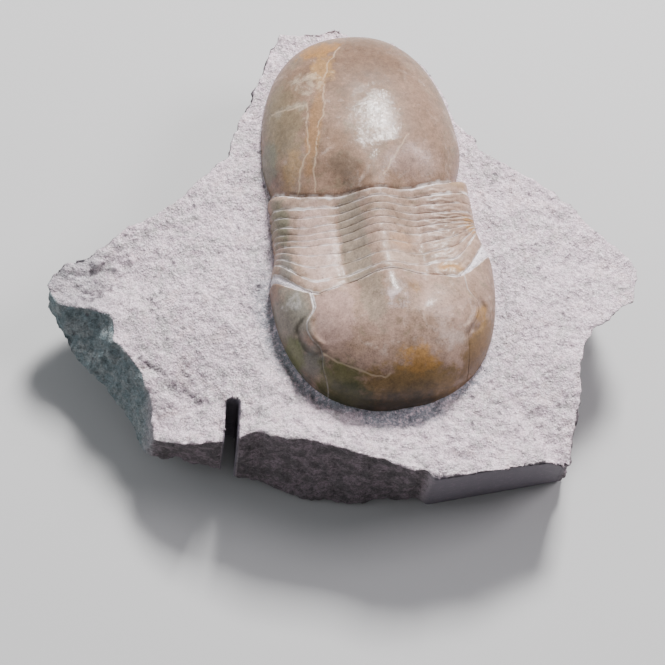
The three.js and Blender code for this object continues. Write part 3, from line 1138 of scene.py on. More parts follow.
def grain_group() -> bpy.types.NodeTree:
    """Builds and returns the group for crystalline grain: its height, tone and dark specks."""
    net = new_group(
        "Grain",
        "ShaderNodeTree",
        {"Place": (0.0, 0.0, 0.0), "Fineness": 1.0, "Crumb": 0.5, "Contrast": 1.0},
        {"Height": "NodeSocketFloat", "Tone": "NodeSocketFloat", "Specks": "NodeSocketFloat"},
    )
    given = net.add("NodeGroupInput").outputs
    place = net.vector("SCALE", given["Place"], given["Fineness"])
    height, sand, dust = grain_height(net, place, given["Crumb"])
    swing = net.minus(net.plus(sand, dust), 1.0)
    tone = net.plus(1.0, net.times(swing, given["Contrast"]))
    dots = net.add("ShaderNodeTexVoronoi", {"Vector": place, "Scale": 0.9, "Randomness": 1.0})
    torn = net.plus(dots.outputs["Distance"], net.times(dust, 0.4))
    specks = net.span(torn, 0.26, 0.38, 1.0, 0.0)
    net.add("NodeGroupOutput", {"Height": height, "Tone": tone, "Specks": specks})
    return net.tree


# ------------------------------------------------------------------ finishes


@dataclass(frozen=True)
class Stain:
    """A patch of another colour on the armour, at a place of the body."""

    centre: Place
    reach: Place
    colour: Colour
    strength: float
    turn: float = 0.0
    soft: float = 0.6
    ragged: float = 0.35


@dataclass(frozen=True)
class Calcite:
    """The satin, stained calcite of the armour."""

    name: str
    stains: tuple[Stain, ...]
    pale: Colour
    deep: Colour
    lime: Colour = (0.74, 0.68, 0.66)
    crack: Colour = (0.58, 0.43, 0.30)
    bloom: Colour = (0.46, 0.355, 0.305)
    olive: Colour = (0.20, 0.155, 0.10)
    # dark specks of the grain, and painted shade in the furrows
    speck_and_shade: Colour = (0.065, 0.05, 0.038)
    fineness: float = 1.1
    crumb: float = 0.1
    contrast: float = 1.3
    mottling: float = 0.22
    roughness: float = 0.5
    polish: float = 0.25
    polish_roughness: float = 0.2

    def material(self, stain: bpy.types.NodeTree, grain: bpy.types.NodeTree) -> bpy.types.Material:
        """Builds the finish.

        Args:
            stain: The group that masks one stain.
            grain: The group for the grain.

        Returns:
            The material.
        """
        made = bpy.data.materials.new(self.name)
        made.use_nodes = True
        net = Net(made.node_tree)
        shader = made.node_tree.nodes["Principled BSDF"]
        place = net.add("ShaderNodeAttribute", attribute_name="place").outputs["Vector"]
        clouds = net.noise(place, 0.16, 5.0, 0.6, 0.6)
        colour = net.mix(net.span(clouds, 0.36, 0.64), self.pale, self.deep)
        mottle = net.noise(place, 0.55, 6.0, 0.72)
        blotches = net.noise(place, 0.33, 5.0, 0.66, 0.5)
        colour = net.mix(net.span(blotches, 0.54, 0.7, 0.0, 0.4), colour, self.bloom)
        colour = net.mix(net.span(blotches, 0.46, 0.32, 0.0, 0.55), colour, self.olive)
        for each in self.stains:
            mask = net.add(
                "ShaderNodeGroup",
                node_tree=stain,
                inputs={
                    "Place": place,
                    "Centre": (*each.centre, 0.0),
                    "Reach": (*each.reach, 1000.0),
                    "Turn": math.radians(each.turn),
                    "Soft": each.soft,
                    "Ragged": each.ragged,
                },
            ).outputs[0]
            colour = net.mix(net.times(mask, each.strength), colour, each.colour)
        texture = net.add(
            "ShaderNodeGroup",
            {
                "Place": place,
                "Fineness": self.fineness,
                "Crumb": self.crumb,
                "Contrast": self.contrast,
            },
            node_tree=grain,
        )
        light = net.span(mottle, 0.52, 0.68, 1.0, 1.0 + self.mottling)
        dark = net.span(mottle, 0.48, 0.34, 1.0, 1.0 - self.mottling)
        colour = net.mix(1.0, colour, net.times(light, dark), "MULTIPLY")
        colour = net.mix(1.0, colour, texture.outputs["Tone"], "MULTIPLY")
        speckled = net.span(clouds, 0.4, 0.6, 0.15, 0.5)
        colour = net.mix(net.times(texture.outputs["Specks"], speckled), colour, self.speck_and_shade)
        crack, film = net.value("crack"), net.value("film")
        # painted shade: the furrows are darkened as if shade lay in them
        colour = net.mix(net.times(net.value("furrow"), 0.6), colour, self.speck_and_shade)
        colour = net.mix(net.times(crack, 0.5), colour, self.crack)
        film_share = net.times(film, net.span(mottle, 0.36, 0.54, 0.25, 1.0), clamp=True)
        colour = net.mix(film_share, colour, self.lime)
        net.join(colour, shader, "Base Color")
        rough = net.span(mottle, 0.3, 0.7, self.roughness - 0.06, self.roughness + 0.1)
        rough = net.plus(rough, net.times(film_share, 0.4), clamp=True)
        net.join(rough, shader, "Roughness")
        shader.inputs["Specular IOR Level"].default_value = 0.25
        shader.inputs["Coat Roughness"].default_value = self.polish_roughness
        grains = net.span(net.noise(place, 2.0, 3.0, 0.7), 0.42, 0.58, 0.35, 1.25)
        polish = net.times(grains, self.polish)
        polish = net.times(polish, net.minus(1.0, film_share))
        net.join(polish, shader, "Coat Weight")
        relief = net.plus(net.times(texture.outputs["Height"], 0.5), net.times(film_share, 0.6))
        bump = net.add("ShaderNodeBump", {"Height": relief, "Strength": 0.3, "Distance": 0.0002})
        net.join(bump.outputs[0], shader, "Normal")
        height = grain_height(net, net.vector("SCALE", place, self.fineness), self.crumb)[0]
        sparkle = net.add("ShaderNodeBump", {"Height": height, "Strength": 0.25, "Distance": 0.0001})
        net.join(sparkle.outputs[0], shader, "Coat Normal")
        return made


TAIL_FINISH = Calcite(
    "stained_calcite_tail",
    (
        Stain((3.0, 37.5), (16.0, 11.5), (0.135, 0.074, 0.044), 0.85, soft=0.9),
        Stain((10.5, 24.0), (7.0, 10.0), (0.215, 0.13, 0.09), 0.7),
        Stain((-14.0, 27.0), (5.4, 11.0), (0.185, 0.137, 0.082), 0.85, turn=4),
        Stain((-5.2, 41.0), (4.8, 3.0), (0.28, 0.135, 0.04), 0.95, turn=-14, ragged=0.5),
        Stain((-5.6, 35.6), (2.4, 5.4), (0.30, 0.165, 0.062), 0.85, turn=14, ragged=0.6),
        Stain((-8.7, 23.5), (1.6, 11.5), (0.255, 0.14, 0.066), 0.85, turn=16, soft=0.5, ragged=0.2),
        Stain((-7.6, 33.4), (2.8, 3.0), (0.46, 0.37, 0.28), 0.5, soft=0.9, ragged=1.2),
        Stain((-12.0, 29.6), (4.4, 1.2), (0.36, 0.30, 0.23), 0.5, turn=3, soft=0.9, ragged=0.8),
        Stain((-16.7, 21.0), (2.0, 5.0), (0.165, 0.15, 0.105), 0.9),
        Stain((-13.4, 17.5), (2.2, 4.6), (0.25, 0.15, 0.066), 0.8, turn=12),
        Stain((-4.8, 15.6), (3.8, 3.2), (0.14, 0.097, 0.068), 0.7),
        Stain((-4.4, 20.6), (2.0, 2.6), (0.20, 0.113, 0.066), 0.6),
        Stain((7.5, 15.8), (7.5, 4.4), (0.37, 0.245, 0.205), 0.75, soft=0.9),
    ),
    pale=(0.25, 0.155, 0.108),
    deep=(0.195, 0.118, 0.077),
    polish=0.45,
    polish_roughness=0.1,
)
THORAX_FINISH = Calcite(
    "stained_calcite_thorax",
    (
        Stain((-10.9, 2.5), (4.0, 10.0), (0.47, 0.315, 0.265), 0.8, soft=0.3, ragged=0.2),
        Stain((-4.7, 1.0), (2.6, 14.0), (0.27, 0.212, 0.157), 0.8, soft=0.3, ragged=0.3),
        Stain((-16.6, 9.0), (2.0, 6.0), (0.18, 0.165, 0.105), 0.85),
        Stain((-16.8, 0.5), (1.8, 5.0), (0.13, 0.125, 0.11), 0.75),
        Stain((9.5, 5.0), (4.4, 6.0), (0.34, 0.225, 0.18), 0.5),
        Stain((14.5, 4.0), (4.0, 9.0), (0.28, 0.175, 0.125), 0.6),
        Stain((17.0, 4.6), (2.2, 2.2), (0.33, 0.17, 0.05), 0.85),
        Stain((11.4, -4.6), (3.0, 1.5), (0.34, 0.175, 0.06), 0.85),
        Stain((15.2, 12.4), (2.4, 1.6), (0.27, 0.165, 0.08), 0.7),
        Stain((3.4, 1.0), (3.2, 2.4), (0.36, 0.215, 0.13), 0.7),
        Stain((3.0, -2.6), (4.4, 1.6), (0.47, 0.34, 0.27), 0.5),
    ),
    pale=(0.37, 0.245, 0.188),
    deep=(0.265, 0.175, 0.125),
    polish_roughness=0.25,
)
HEAD_FINISH = Calcite(
    "stained_calcite_head",
    (
        Stain((-17.0, -9.0), (4.6, 7.5), (0.20, 0.185, 0.145), 0.85, ragged=0.3),
        Stain((-16.9, -7.6), (1.6, 1.6), (0.44, 0.41, 0.39), 0.5, soft=0.9, ragged=1.2),
        Stain((-10.4, -11.8), (4.4, 6.4), (0.37, 0.235, 0.198), 0.8, soft=0.4, ragged=0.3),
        Stain((-3.4, -9.5), (2.6, 8.0), (0.24, 0.185, 0.135), 0.7, soft=0.4),
        Stain((8.0, -12.0), (5.0, 5.0), (0.37, 0.24, 0.19), 0.6),
        Stain((9.4, -18.0), (4.6, 2.6), (0.43, 0.33, 0.29), 0.6, soft=0.9, ragged=0.9),
        Stain((-15.0, -18.0), (4.6, 2.4), (0.14, 0.135, 0.112), 0.85, turn=50),
        Stain((-17.5, -14.8), (1.7, 3.8), (0.14, 0.142, 0.066), 0.95, turn=-22, soft=0.5, ragged=0.3),
        Stain((1.6, -24.6), (14.5, 3.8), (0.185, 0.112, 0.042), 0.95, soft=0.5, ragged=0.4),
        Stain((14.6, -18.8), (3.0, 8.8), (0.165, 0.095, 0.04), 0.97, turn=34, soft=0.5, ragged=0.4),
        Stain((-10.6, -22.0), (5.8, 3.4), (0.125, 0.112, 0.042), 0.95, turn=35, soft=0.6, ragged=0.4),
        Stain((3.2, -21.2), (4.8, 2.8), (0.29, 0.15, 0.045), 0.9, soft=0.7, ragged=0.6),
        # the next two: the dark front rim, partly its own colour and partly painted shade where the front
        # slopes down away from the light
        Stain((-9.0, -24.6), (7.5, 2.6), (0.055, 0.058, 0.022), 0.95, turn=28, soft=0.6),
        Stain((0.5, -27.3), (16.5, 3.6), (0.03, 0.024, 0.012), 0.92, soft=0.7, ragged=0.3),
        Stain((0.8, -10.2), (2.4, 2.6), (0.52, 0.43, 0.43), 0.7, soft=0.9, ragged=1.0),
        Stain((4.1, -9.1), (1.3, 1.8), (0.29, 0.16, 0.06), 0.8, ragged=0.6),
        Stain((15.6, -13.2), (1.1, 3.2), (0.30, 0.165, 0.055), 0.9, turn=32, soft=0.6),
        Stain((0.3, -15.0), (1.1, 1.0), (0.17, 0.115, 0.075), 0.7),
        Stain((3.0, -8.6), (5.0, 2.0), (0.22, 0.14, 0.095), 0.6, ragged=0.5),
    ),
    pale=(0.325, 0.21, 0.162),
    deep=(0.24, 0.153, 0.107),
    polish=0.3,
    polish_roughness=0.16,
)


# values at the block's vertices: where each kind of surface is, and how strong the relief is
MASKS = ("sawn", "side", "facet", "trench", "lime", "fissure", "rough")


@dataclass(frozen=True)
class Limestone:
    """The pale stone: pecked on its face, broken and weathered at its sides, and sawn below. The dark
    colours of its sides and sawn faces are partly painted shade.
    """

    pale: Colour = (0.79, 0.65, 0.70)
    lilac: Colour = (0.50, 0.375, 0.44)
    rosy: Colour = (0.72, 0.56, 0.56)
    grey_green: Colour = (0.42, 0.40, 0.385)
    bruise: Colour = (0.93, 0.86, 0.895)
    pit: Colour = (0.10, 0.085, 0.10)
    trench: Colour = (0.38, 0.385, 0.43)
    # partly the left facet's own grey-green, partly painted shade
    facet: Colour = (0.175, 0.218, 0.23)
    # partly the broken sides' own colour, partly painted shade on faces turned away from the light
    side: Colour = (0.125, 0.11, 0.115)
    # partly the sawn faces' own colour, partly painted shade on faces turned away from the light
    sawn: Colour = (0.125, 0.107, 0.138)

    def material(self, grain: bpy.types.NodeTree) -> bpy.types.Material:
        """Builds the finish.

        Args:
            grain: The group for the grain.

        Returns:
            The material.
        """
        made = bpy.data.materials.new("pecked_limestone")
        made.use_nodes = True
        net = Net(made.node_tree)
        shader = made.node_tree.nodes["Principled BSDF"]
        metres = net.add("ShaderNodeTexCoord").outputs["Object"]
        place = net.add("ShaderNodeMapping", {"Vector": metres, "Scale": (1 / MM,) * 3}).outputs[0]
        fine = {"Place": place, "Fineness": 1.25, "Crumb": 0.4, "Contrast": 2.3}
        texture = net.add("ShaderNodeGroup", fine, node_tree=grain)
        chips = {"Place": place, "Fineness": 0.42, "Crumb": 0.7, "Contrast": 1.0}
        coarse = net.add("ShaderNodeGroup", chips, node_tree=grain)
        clouds = net.noise(place, 0.13, 5.0, 0.62)
        flecks = net.noise(place, 0.8, 6.0, 0.78)
        colour = net.mix(net.span(flecks, 0.42, 0.62, 0.0, 0.6), self.pale, self.lilac)
        tinted = net.noise(place, 0.3, 4.0, 0.6, 0.4)
        colour = net.mix(net.span(tinted, 0.52, 0.66, 0.0, 0.45), colour, self.rosy)
        colour = net.mix(net.span(tinted, 0.47, 0.34, 0.0, 0.5), colour, self.grey_green)
        green = net.times(net.span(clouds, 0.46, 0.6), net.span(flecks, 0.56, 0.42))
        colour = net.mix(net.times(green, 0.6), colour, self.grey_green)
        bruised = net.span(net.noise(place, 1.7, 4.0, 0.75), 0.52, 0.66, 0.0, 0.7)
        colour = net.mix(bruised, colour, self.bruise)
        masks = {name: net.value(name) for name in MASKS if name != "rough"}
        broken = net.span(net.noise(place, 0.45, 6.0, 0.78), 0.42, 0.62)
        scratched = net.span(net.noise(place, 1.5, 5.0, 0.85, 0.8), 0.5, 0.58)
        colour = net.mix(masks["trench"], colour, net.mix(scratched, self.trench, self.pale))
        # steep faces take the dark side colour, which is partly painted shade
        side = net.mix(net.times(broken, 0.35), self.side, self.lilac)
        colour = net.mix(masks["side"], colour, side)
        # the large left facet: its own grey-green with painted shade
        facet = net.mix(net.times(broken, 0.35), self.facet, self.grey_green)
        colour = net.mix(masks["facet"], colour, facet)
        colour = net.mix(1.0, colour, texture.outputs["Tone"], "MULTIPLY")
        peppered = net.span(clouds, 0.42, 0.62, 0.2, 0.7)
        colour = net.mix(net.times(coarse.outputs["Specks"], peppered), colour, self.pit)
        colour = net.mix(net.times(masks["fissure"], 0.75), colour, self.pit)
        lines = net.add(
            "ShaderNodeTexWave",
            {"Vector": place, "Scale": 0.55, "Distortion": 1.2, "Detail": 3.0, "Detail Scale": 1.6},
            wave_type="BANDS",
            bands_direction="Z",
        ).outputs[1]
        # the sawn faces: dark, partly painted shade, with faint saw lines
        sawn = net.mix(net.span(lines, 0.2, 0.9, 0.0, 0.25), self.sawn, self.grey_green)
        sawn = net.mix(net.span(flecks, 0.5, 0.75, 0.0, 0.3), sawn, self.lilac)
        colour = net.mix(masks["sawn"], colour, sawn)
        colour = net.mix(net.times(masks["lime"], 0.7), colour, self.bruise)
        net.join(colour, shader, "Base Color")
        rough = net.minus(0.95, net.times(masks["sawn"], 0.35))
        net.join(rough, shader, "Roughness")
        shader.inputs["Specular IOR Level"].default_value = 0.3
        height = net.plus(texture.outputs["Height"], net.times(coarse.outputs["Height"], 0.9))
        height = net.minus(height, net.times(coarse.outputs["Specks"], 0.8))
        either = {0: masks["sawn"], 2: height, 3: net.times(lines, 0.15)}
        height = net.add("ShaderNodeMix", either, data_type="FLOAT").outputs[0]
        bump = net.add("ShaderNodeBump", {"Height": height, "Strength": 0.8, "Distance": 0.00045})
        net.join(bump.outputs[0], shader, "Normal")
        return made


# ------------------------------------------------------------------ the block


@dataclass(frozen=True)
class Relief:
    """The broken surface of the stone, from sizes of lumps, chips and grains and their heights."""

    lump: Place = (6.0, 1.3)
    chip: Place = (2.6, 0.55)
    grain: Place = (1.0, 0.4)
    seed: float = 7.0

    def tree(self) -> bpy.types.NodeTree:
        """Builds the Geometry Nodes tree that raises the relief along the surface's normal.

        Returns:
            The tree. It reads the attribute "rough" and scales the relief by it.
        """
        inputs: dict[str, object] = {"Geometry": "NodeSocketGeometry"}
        for label in ("Lump", "Chip", "Grain"):
            inputs[f"{label} size"] = MM
            inputs[f"{label} height"] = MM
        inputs["Seed"] = 0.0
        inputs["Material"] = "NodeSocketMaterial"
        outputs = {"Geometry": "NodeSocketGeometry"}
        net = new_group("Broken stone", "GeometryNodeTree", inputs, outputs)
        given = net.add("NodeGroupInput").outputs
        place = net.add("GeometryNodeInputPosition").outputs[0]
        shift = net.add("ShaderNodeCombineXYZ", {axis: given["Seed"] for axis in range(3)})
        moved = net.vector("ADD", place, shift.outputs[0])
        parts = []
        for label in ("Lump", "Chip", "Grain"):
            scale = net.over(1.0, given[f"{label} size"])
            if label == "Chip":
                cells = net.add("ShaderNodeTexVoronoi", {"Vector": moved, "Scale": scale, "Detail": 1.0})
                wave = net.minus(0.5, cells.outputs["Distance"])
            else:
                wave = net.minus(net.noise(moved, scale, 3.0, 0.6, 0.4), 0.5)
            parts.append(net.times(wave, given[f"{label} height"]))
        total = net.plus(net.plus(parts[0], parts[1]), parts[2])
        rough = net.add("GeometryNodeInputNamedAttribute", {"Name": "rough"}, data_type="FLOAT")
        total = net.times(total, rough.outputs["Attribute"])
        normal = net.add("GeometryNodeInputNormal").outputs[0]
        offset = net.vector("SCALE", normal, total)
        push = {"Geometry": given["Geometry"], "Offset": offset}
        raised = net.add("GeometryNodeSetPosition", push).outputs[0]
        real = net.add("GeometryNodeRealizeInstances", {0: raised}).outputs[0]
        dressed = net.add("GeometryNodeSetMaterial", {"Geometry": real, "Material": given["Material"]})
        net.add("NodeGroupOutput", {"Geometry": dressed.outputs[0]})
        return net.tree

    def apply(self, block: bpy.types.Object, material: bpy.types.Material) -> bpy.types.Mesh:
        """Raises the relief on an object.

        Args:
            block: The object.
            material: The stone's finish.

        Returns:
            The new mesh. The object's modifier is removed.
        """
        modifier = block.modifiers.new("broken_stone", "NODES")
        modifier.node_group = self.tree()
        sizes = {"Seed": self.seed, "Material": material}
        for label, (size, height) in (("Lump", self.lump), ("Chip", self.chip), ("Grain", self.grain)):
            sizes[f"{label} size"] = size * MM
            sizes[f"{label} height"] = height * MM
        for item in modifier.node_group.interface.items_tree:
            if item.in_out == "INPUT" and item.name in sizes:
                modifier[item.identifier] = sizes[item.name]
        made = baked(block)
        block.modifiers.remove(modifier)
        return made


def baked(thing: bpy.types.Object) -> bpy.types.Mesh:
    """Returns an object's mesh with its modifiers applied."""
    graph = bpy.context.evaluated_depsgraph_get()
    return bpy.data.meshes.new_from_object(thing.evaluated_get(graph), depsgraph=graph)


@dataclass
class Block:
    """The block of stone, made from its CAD node with the rock closed up to the animal."""

    finish: Limestone
    relief: Relief
    voxel: float = 0.40
    trench_depth: float = 1.2
    trench_width: float = 5.0
    cut_width: float = 2.2
    cut_place: Place = (-20.05, -27.4)
    cut_askew: float = math.radians(-4)
    end_place: tuple[float, float, float] = (26.35, -40.3, 10.0)
    end_facing: tuple[float, float, float] = (0.18, -0.97, -0.16)
    end_span: Place = (12.5, 38.5)
    collar_steps: int = 160
    collar_reach: Place = (-2.2, 0.75)
    foot: float = -3.5
    back_level: float = 0.12
    wedge_rough: float = 0.2
    wedge_from: float = 8.5
    wedge_overlap: float = 0.25
    fissure_depth: float = 0.35
    fissures: tuple[tuple[Place, ...], ...] = (
        ((-44.6, -2.6), (-43.9, -4.6), (-43.0, -7.2)),
        ((-43.0, -7.2), (-45.6, -6.6), (-47.4, -5.4)),
        ((-43.6, -4.4), (-42.2, -5.9), (-40.8, -6.4)),
        ((-46.4, -7.9), (-44.3, -8.4), (-43.1, -7.2)),
        ((-34.8, -20.5), (-31.5, -22.5), (-29.5, -25.0)),
        ((-31.0, -24.3), (-28.0, -25.5), (-25.5, -27.6)),
        ((-33.5, -25.5), (-30.5, -28.0)),
        ((-28.8, -21.8), (-26.4, -24.0)),
    )

    def trench(self, s: np.ndarray, t: np.ndarray) -> np.ndarray:
        """How deep the trench round the head is.

        Args:
            s: Places across the body's frame.
            t: Places along it.

        Returns:
            The depth at each place.
        """
        around = 1 - rise(t, -8, 12)
        side = np.where(s < 0, 1.0, 0.55)
        near = 1 - rise(SHAPE.outside(s, t), 0, self.trench_width)
        return self.trench_depth * around * side * near

    def collar(self) -> bpy.types.Mesh:
        """Builds the ring of rock that closes the bed up to the animal's margin.

        Returns:
            The ring as a closed mesh.
        """
        middle, reach = (SHAPE.tail_end + SHAPE.head_end) / 2, (SHAPE.tail_end - SHAPE.head_end) / 2
        t = middle + dense(self.collar_steps) * reach
        t = np.concatenate([t, t[-2:0:-1]])
        sides = np.where(np.arange(len(t)) < self.collar_steps, 1.0, -1.0)
        s = SHAPE.half_width(t) * sides
        out_s, out_t = np.gradient(t), -np.gradient(s)
        length = np.hypot(out_s, out_t)
        out_s, out_t = out_s / length, out_t / length
        abeam = self.collar_steps // 2
        if out_s[abeam] * s[abeam] < 0:
            out_s, out_t = -out_s, -out_t
        loops = []
        inner, outer = self.collar_reach
        for outwards, top in ((inner, False), (inner, True), (outer, True), (outer, False)):
            ring_s, ring_t = s + outwards * out_s, t + outwards * out_t
            level = -self.trench(ring_s, ring_t) + 0.05 if top else np.full(len(s), self.foot)
            loops.append(SHAPE.on_block(ring_s, ring_t, level))
        numbers = np.arange(len(loops) * len(s)).reshape(len(loops), len(s))
        beyond = np.roll(numbers, -1, axis=0)
        corners = [numbers, np.roll(numbers, -1, axis=1), np.roll(beyond, -1, axis=1), beyond]
        faces = np.stack(corners, axis=-1).reshape(-1, 4).tolist()
        mesh = bpy.data.meshes.new("collar")
        mesh.from_pydata((np.vstack(loops) * MM).tolist(), [], faces)
        return mesh

    def wedge(self, side: Side) -> bpy.types.Mesh:
        """Builds the rock that stands in the gap between the first ring and the head.

        Args:
            side: Which gap.

        Returns:
            The rock as a closed mesh.
        """
        outwards, along = np.meshgrid(np.linspace(0, 1, 48), np.linspace(0, 1, 12))
        across = blend(self.wedge_from, 19.0, outwards)
        for _ in range(FITTING_ROUNDS):
            s = across * side.value
            front, back = HEAD_BACK.at(s), np.maximum(SEAMS[-1].at(s), HEAD_BACK.at(s))
            t = blend(front - self.wedge_overlap, back + self.wedge_overlap, along)
            across = blend(self.wedge_from, SHAPE.half_width(t) - 0.15, outwards)
        sunk = 0.3 + 1.6 * (1 - rise(across, 9.0, 13.0))
        height = np.maximum(SHAPE.height(s, t) - sunk, 0.1)
        return lump("wedge", s, t, height, self.foot, {})

    def solid(self) -> bpy.types.Mesh:
        """Joins the CAD node's copy, the collar and the wedges, and meshes them evenly.

        Returns:
            The even mesh.
        """
        work = bmesh.new()
        work.from_mesh(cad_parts["matrix"].data)
        bmesh.ops.remove_doubles(work, verts=work.verts, dist=1e-6)
        for extra in (self.collar(), *(self.wedge(side) for side in Side)):
            work.from_mesh(extra)
        bmesh.ops.recalc_face_normals(work, faces=work.faces)
        mesh = bpy.data.meshes.new("joined")
        work.to_mesh(mesh)
        work.free()
        thing = object_from("joined", mesh)
        modifier = thing.modifiers.new("even", "REMESH")
        modifier.mode = "VOXEL"
        modifier.voxel_size = self.voxel * MM
        made = baked(thing)
        bpy.data.objects.remove(thing)
        return self.largest(made)

    def largest(self, mesh: bpy.types.Mesh) -> bpy.types.Mesh:
        """Drops every loose crumb but the block itself.

        Args:
            mesh: The mesh.

        Returns:
            The same mesh.
        """
        work = bmesh.new()
        work.from_mesh(mesh)
        start = min(work.verts, key=lambda vertex: vertex.co.z)
        kept = {start}
        edge = [start]
        while edge:
            vertex = edge.pop()
            for link in vertex.link_edges:
                other = link.other_vert(vertex)
                if other not in kept:
                    kept.add(other)
                    edge.append(other)
        loose = [vertex for vertex in work.verts if vertex not in kept]
        bmesh.ops.delete(work, geom=loose, context="VERTS")
        work.to_mesh(mesh)
        work.free()
        return mesh

    def soften(self, mesh: bpy.types.Mesh, held: np.ndarray, rounds: int = 2) -> None:
        """Evens out the steps that the even meshing leaves.

        Args:
            mesh: The mesh.
            held: 1 where a vertex stays, 0 where it may move.
            rounds: How often.
        """
        edges = np.empty(len(mesh.edges) * 2, np.int32)
        mesh.edges.foreach_get("vertices", edges)
        a, b = edges[0::2], edges[1::2]
        places = vertex_places(mesh)
        count = np.bincount(edges, minlength=len(places))[:, None]
        for _ in range(rounds):
            total = np.zeros_like(places)
            for one, other in ((a, b), (b, a)):
                for axis in range(3):
                    total[:, axis] += np.bincount(one, places[other, axis], len(places))
            places += (1 - held[:, None]) * 0.6 * (total / count - places)
        self.move(mesh, places)

    def move(self, mesh: bpy.types.Mesh, places: np.ndarray) -> None:
        """Writes new places, in millimetres, to a mesh's vertices."""
        mesh.vertices.foreach_set("co", (places * MM).astype(np.float32).ravel())
        mesh.update()

    def facing(self) -> np.ndarray:
        """Returns the direction in which the sawn end faces, one long."""
        return np.array(self.end_facing) / np.linalg.norm(self.end_facing)

    def masks(self, mesh: bpy.types.Mesh) -> dict[str, np.ndarray]:
        """Finds the block's different faces.

        Args:
            mesh: The even mesh.

        Returns:
            A mask from 0 to 1 at each vertex, by name.
        """
        places = vertex_places(mesh)
        normals = np.empty(places.shape, np.float32)
        mesh.vertex_normals.foreach_get("vector", normals.ravel())
        x, y, z = places.T
        s, t = SHAPE.in_body(x, y)
        away = SHAPE.outside(s, t)
        up = normals[:, 2]
        # the sawn faces: the flat back, the cut in the near edge, and the end face
        back = (z < self.back_level) * 1.0
        cos, sin = math.cos(self.cut_askew), math.sin(self.cut_askew)
        off_cut = (x - self.cut_place[0]) * cos + (y - self.cut_place[1]) * sin
        cut = (np.abs(off_cut) < self.cut_width / 2 + 0.3) & (y < self.cut_place[1] + 1.5) & (up < 0.6)
        facing = self.facing()
        off_end = (places - np.array(self.end_place)) @ facing
        start, stop = self.end_span
        in_span = rise(x, start, start + 2) * (1 - rise(x, stop - 0.6, stop + 0.4))
        end = in_span * (normals @ facing > 0.55) * (np.abs(off_end) < 3)
        flat = np.clip(back + cut + end, 0, 1)
        # the broken faces: steep all round, and the large facet at the left; their dark colours are partly
        # painted shade
        side = (1 - rise(up, 0.30, 0.62)) * (1 - flat)
        edge = rise(-x, 33.0, 36.0) * rise(-y, 1.0, 5.0)
        left = edge * (1 - rise(up, 0.72, 0.86)) * (1 - flat)
        # the pecked trench round the head, deeper on the right, and the white rock behind the head
        shut = 1 - rise(away, 0.15, 1.1)
        around = (1 - rise(t, -8, 12)) * np.where(s < 0, 1.0, 0.25 + 0.75 * rise(-t, 18, 25))
        trench = around * (1 - rise(away, 1.2, self.trench_width)) * (away > -0.8)
        wedge = (away < 0.1) & (t > -8) & (t < 4) & (z > SHAPE.bed + 0.4)
        fissure = ROCK_FISSURE.mask(self.fissures, x, y) * rise(up, 0.3, 0.6)
        # the relief is faint against the animal, and strongest towards the near and the left edge
        rugged = np.maximum(rise(-y, 22, 32), rise(-x, 30, 42))
        rough = (1 - flat) * (1 - 0.75 * shut) * (1 + 0.35 * side + 0.7 * rugged * (1 - side))
        return {
            "sawn": flat,
            "side": side * (1 - edge),
            "facet": np.maximum(left, 0.4 * rise(-x, 39, 46) * (1 - flat)),
            "fissure": fissure,
            "trench": trench * (1 - side),
            "lime": wedge * 1.0,
            "rough": np.where(wedge, self.wedge_rough, rough),
            "end": end,
            "off_end": off_end,
        }

    def build(self, grain: bpy.types.NodeTree) -> bpy.types.Object:
        """Builds the block.

        Args:
            grain: The group for the stone's grain.

        Returns:
            The piece, which rides on the body.
        """
        mesh = self.solid()
        masks = self.masks(mesh)
        places = vertex_places(mesh)
        places -= (masks["end"] * masks["off_end"])[:, None] * self.facing()
        self.move(mesh, places)
        self.soften(mesh, (masks["sawn"] > 0.5) * 1.0)
        places = vertex_places(mesh)
        places[:, 2] -= self.fissure_depth * masks["fissure"]
        self.move(mesh, places)
        for name in MASKS:
            write_values(mesh, name, masks[name])
        thing = object_from("matrix_piece", mesh)
        thing.data = self.relief.apply(thing, self.finish.material(grain))
        thing.data.shade_smooth()
        self.lighten(thing.data)
        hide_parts("matrix")
        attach(thing, BODY)
        LOG.info("%s: %d faces", thing.name, len(thing.data.polygons))
        return thing

    def lighten(self, mesh: bpy.types.Mesh) -> None:
        """Joins the many small faces of the flat back, and of the bed hidden under the animal.

        Args:
            mesh: The finished mesh.
        """
        places = vertex_places(mesh)
        s, t = SHAPE.in_body(places[:, 0], places[:, 1])
        low = places[:, 2] < 0.03
        level = (places[:, 2] > SHAPE.bed / 2) & (places[:, 2] < SHAPE.bed - 1.0)
        hidden = (low | (level & (SHAPE.outside(s, t) < -1.5))).tolist()
        work = bmesh.new()
        work.from_mesh(mesh)
        flat = [face for face in work.faces if all(hidden[vertex.index] for vertex in face.verts)]
        # a dict keeps the order, where a set would change it from run to run
        inner = list(dict.fromkeys(vertex for face in flat for vertex in face.verts))
        edges = list(dict.fromkeys(edge for face in flat for edge in face.edges))
        bmesh.ops.dissolve_limit(work, angle_limit=math.radians(2), verts=inner, edges=edges)
        bmesh.ops.triangulate(work, faces=[face for face in work.faces if len(face.verts) > 4])
        work.to_mesh(mesh)
        work.free()


# ------------------------------------------------------------------ the studio


@dataclass(frozen=True)
class Lamp:
    """A soft box: where it shines from, its size, its power and its colour."""

    name: str
    towards: tuple[float, float, float]
    distance: float
    size: float
    power: float
    colour: Colour = (1.0, 1.0, 1.0)

    def place(self) -> None:
        """Sets the soft box up so that it faces the block."""
        data = bpy.data.lights.new(self.name, "AREA")
        data.shape = "SQUARE"
        data.size = self.size
        data.energy = self.power
        data.color = self.colour
        made = bpy.data.objects.new(self.name, data)
        direction = Vector(self.towards).normalized()
        made.location = direction * self.distance
        made.rotation_euler = direction.to_track_quat("Z", "Y").to_euler()
        bpy.context.scene.collection.objects.link(made)


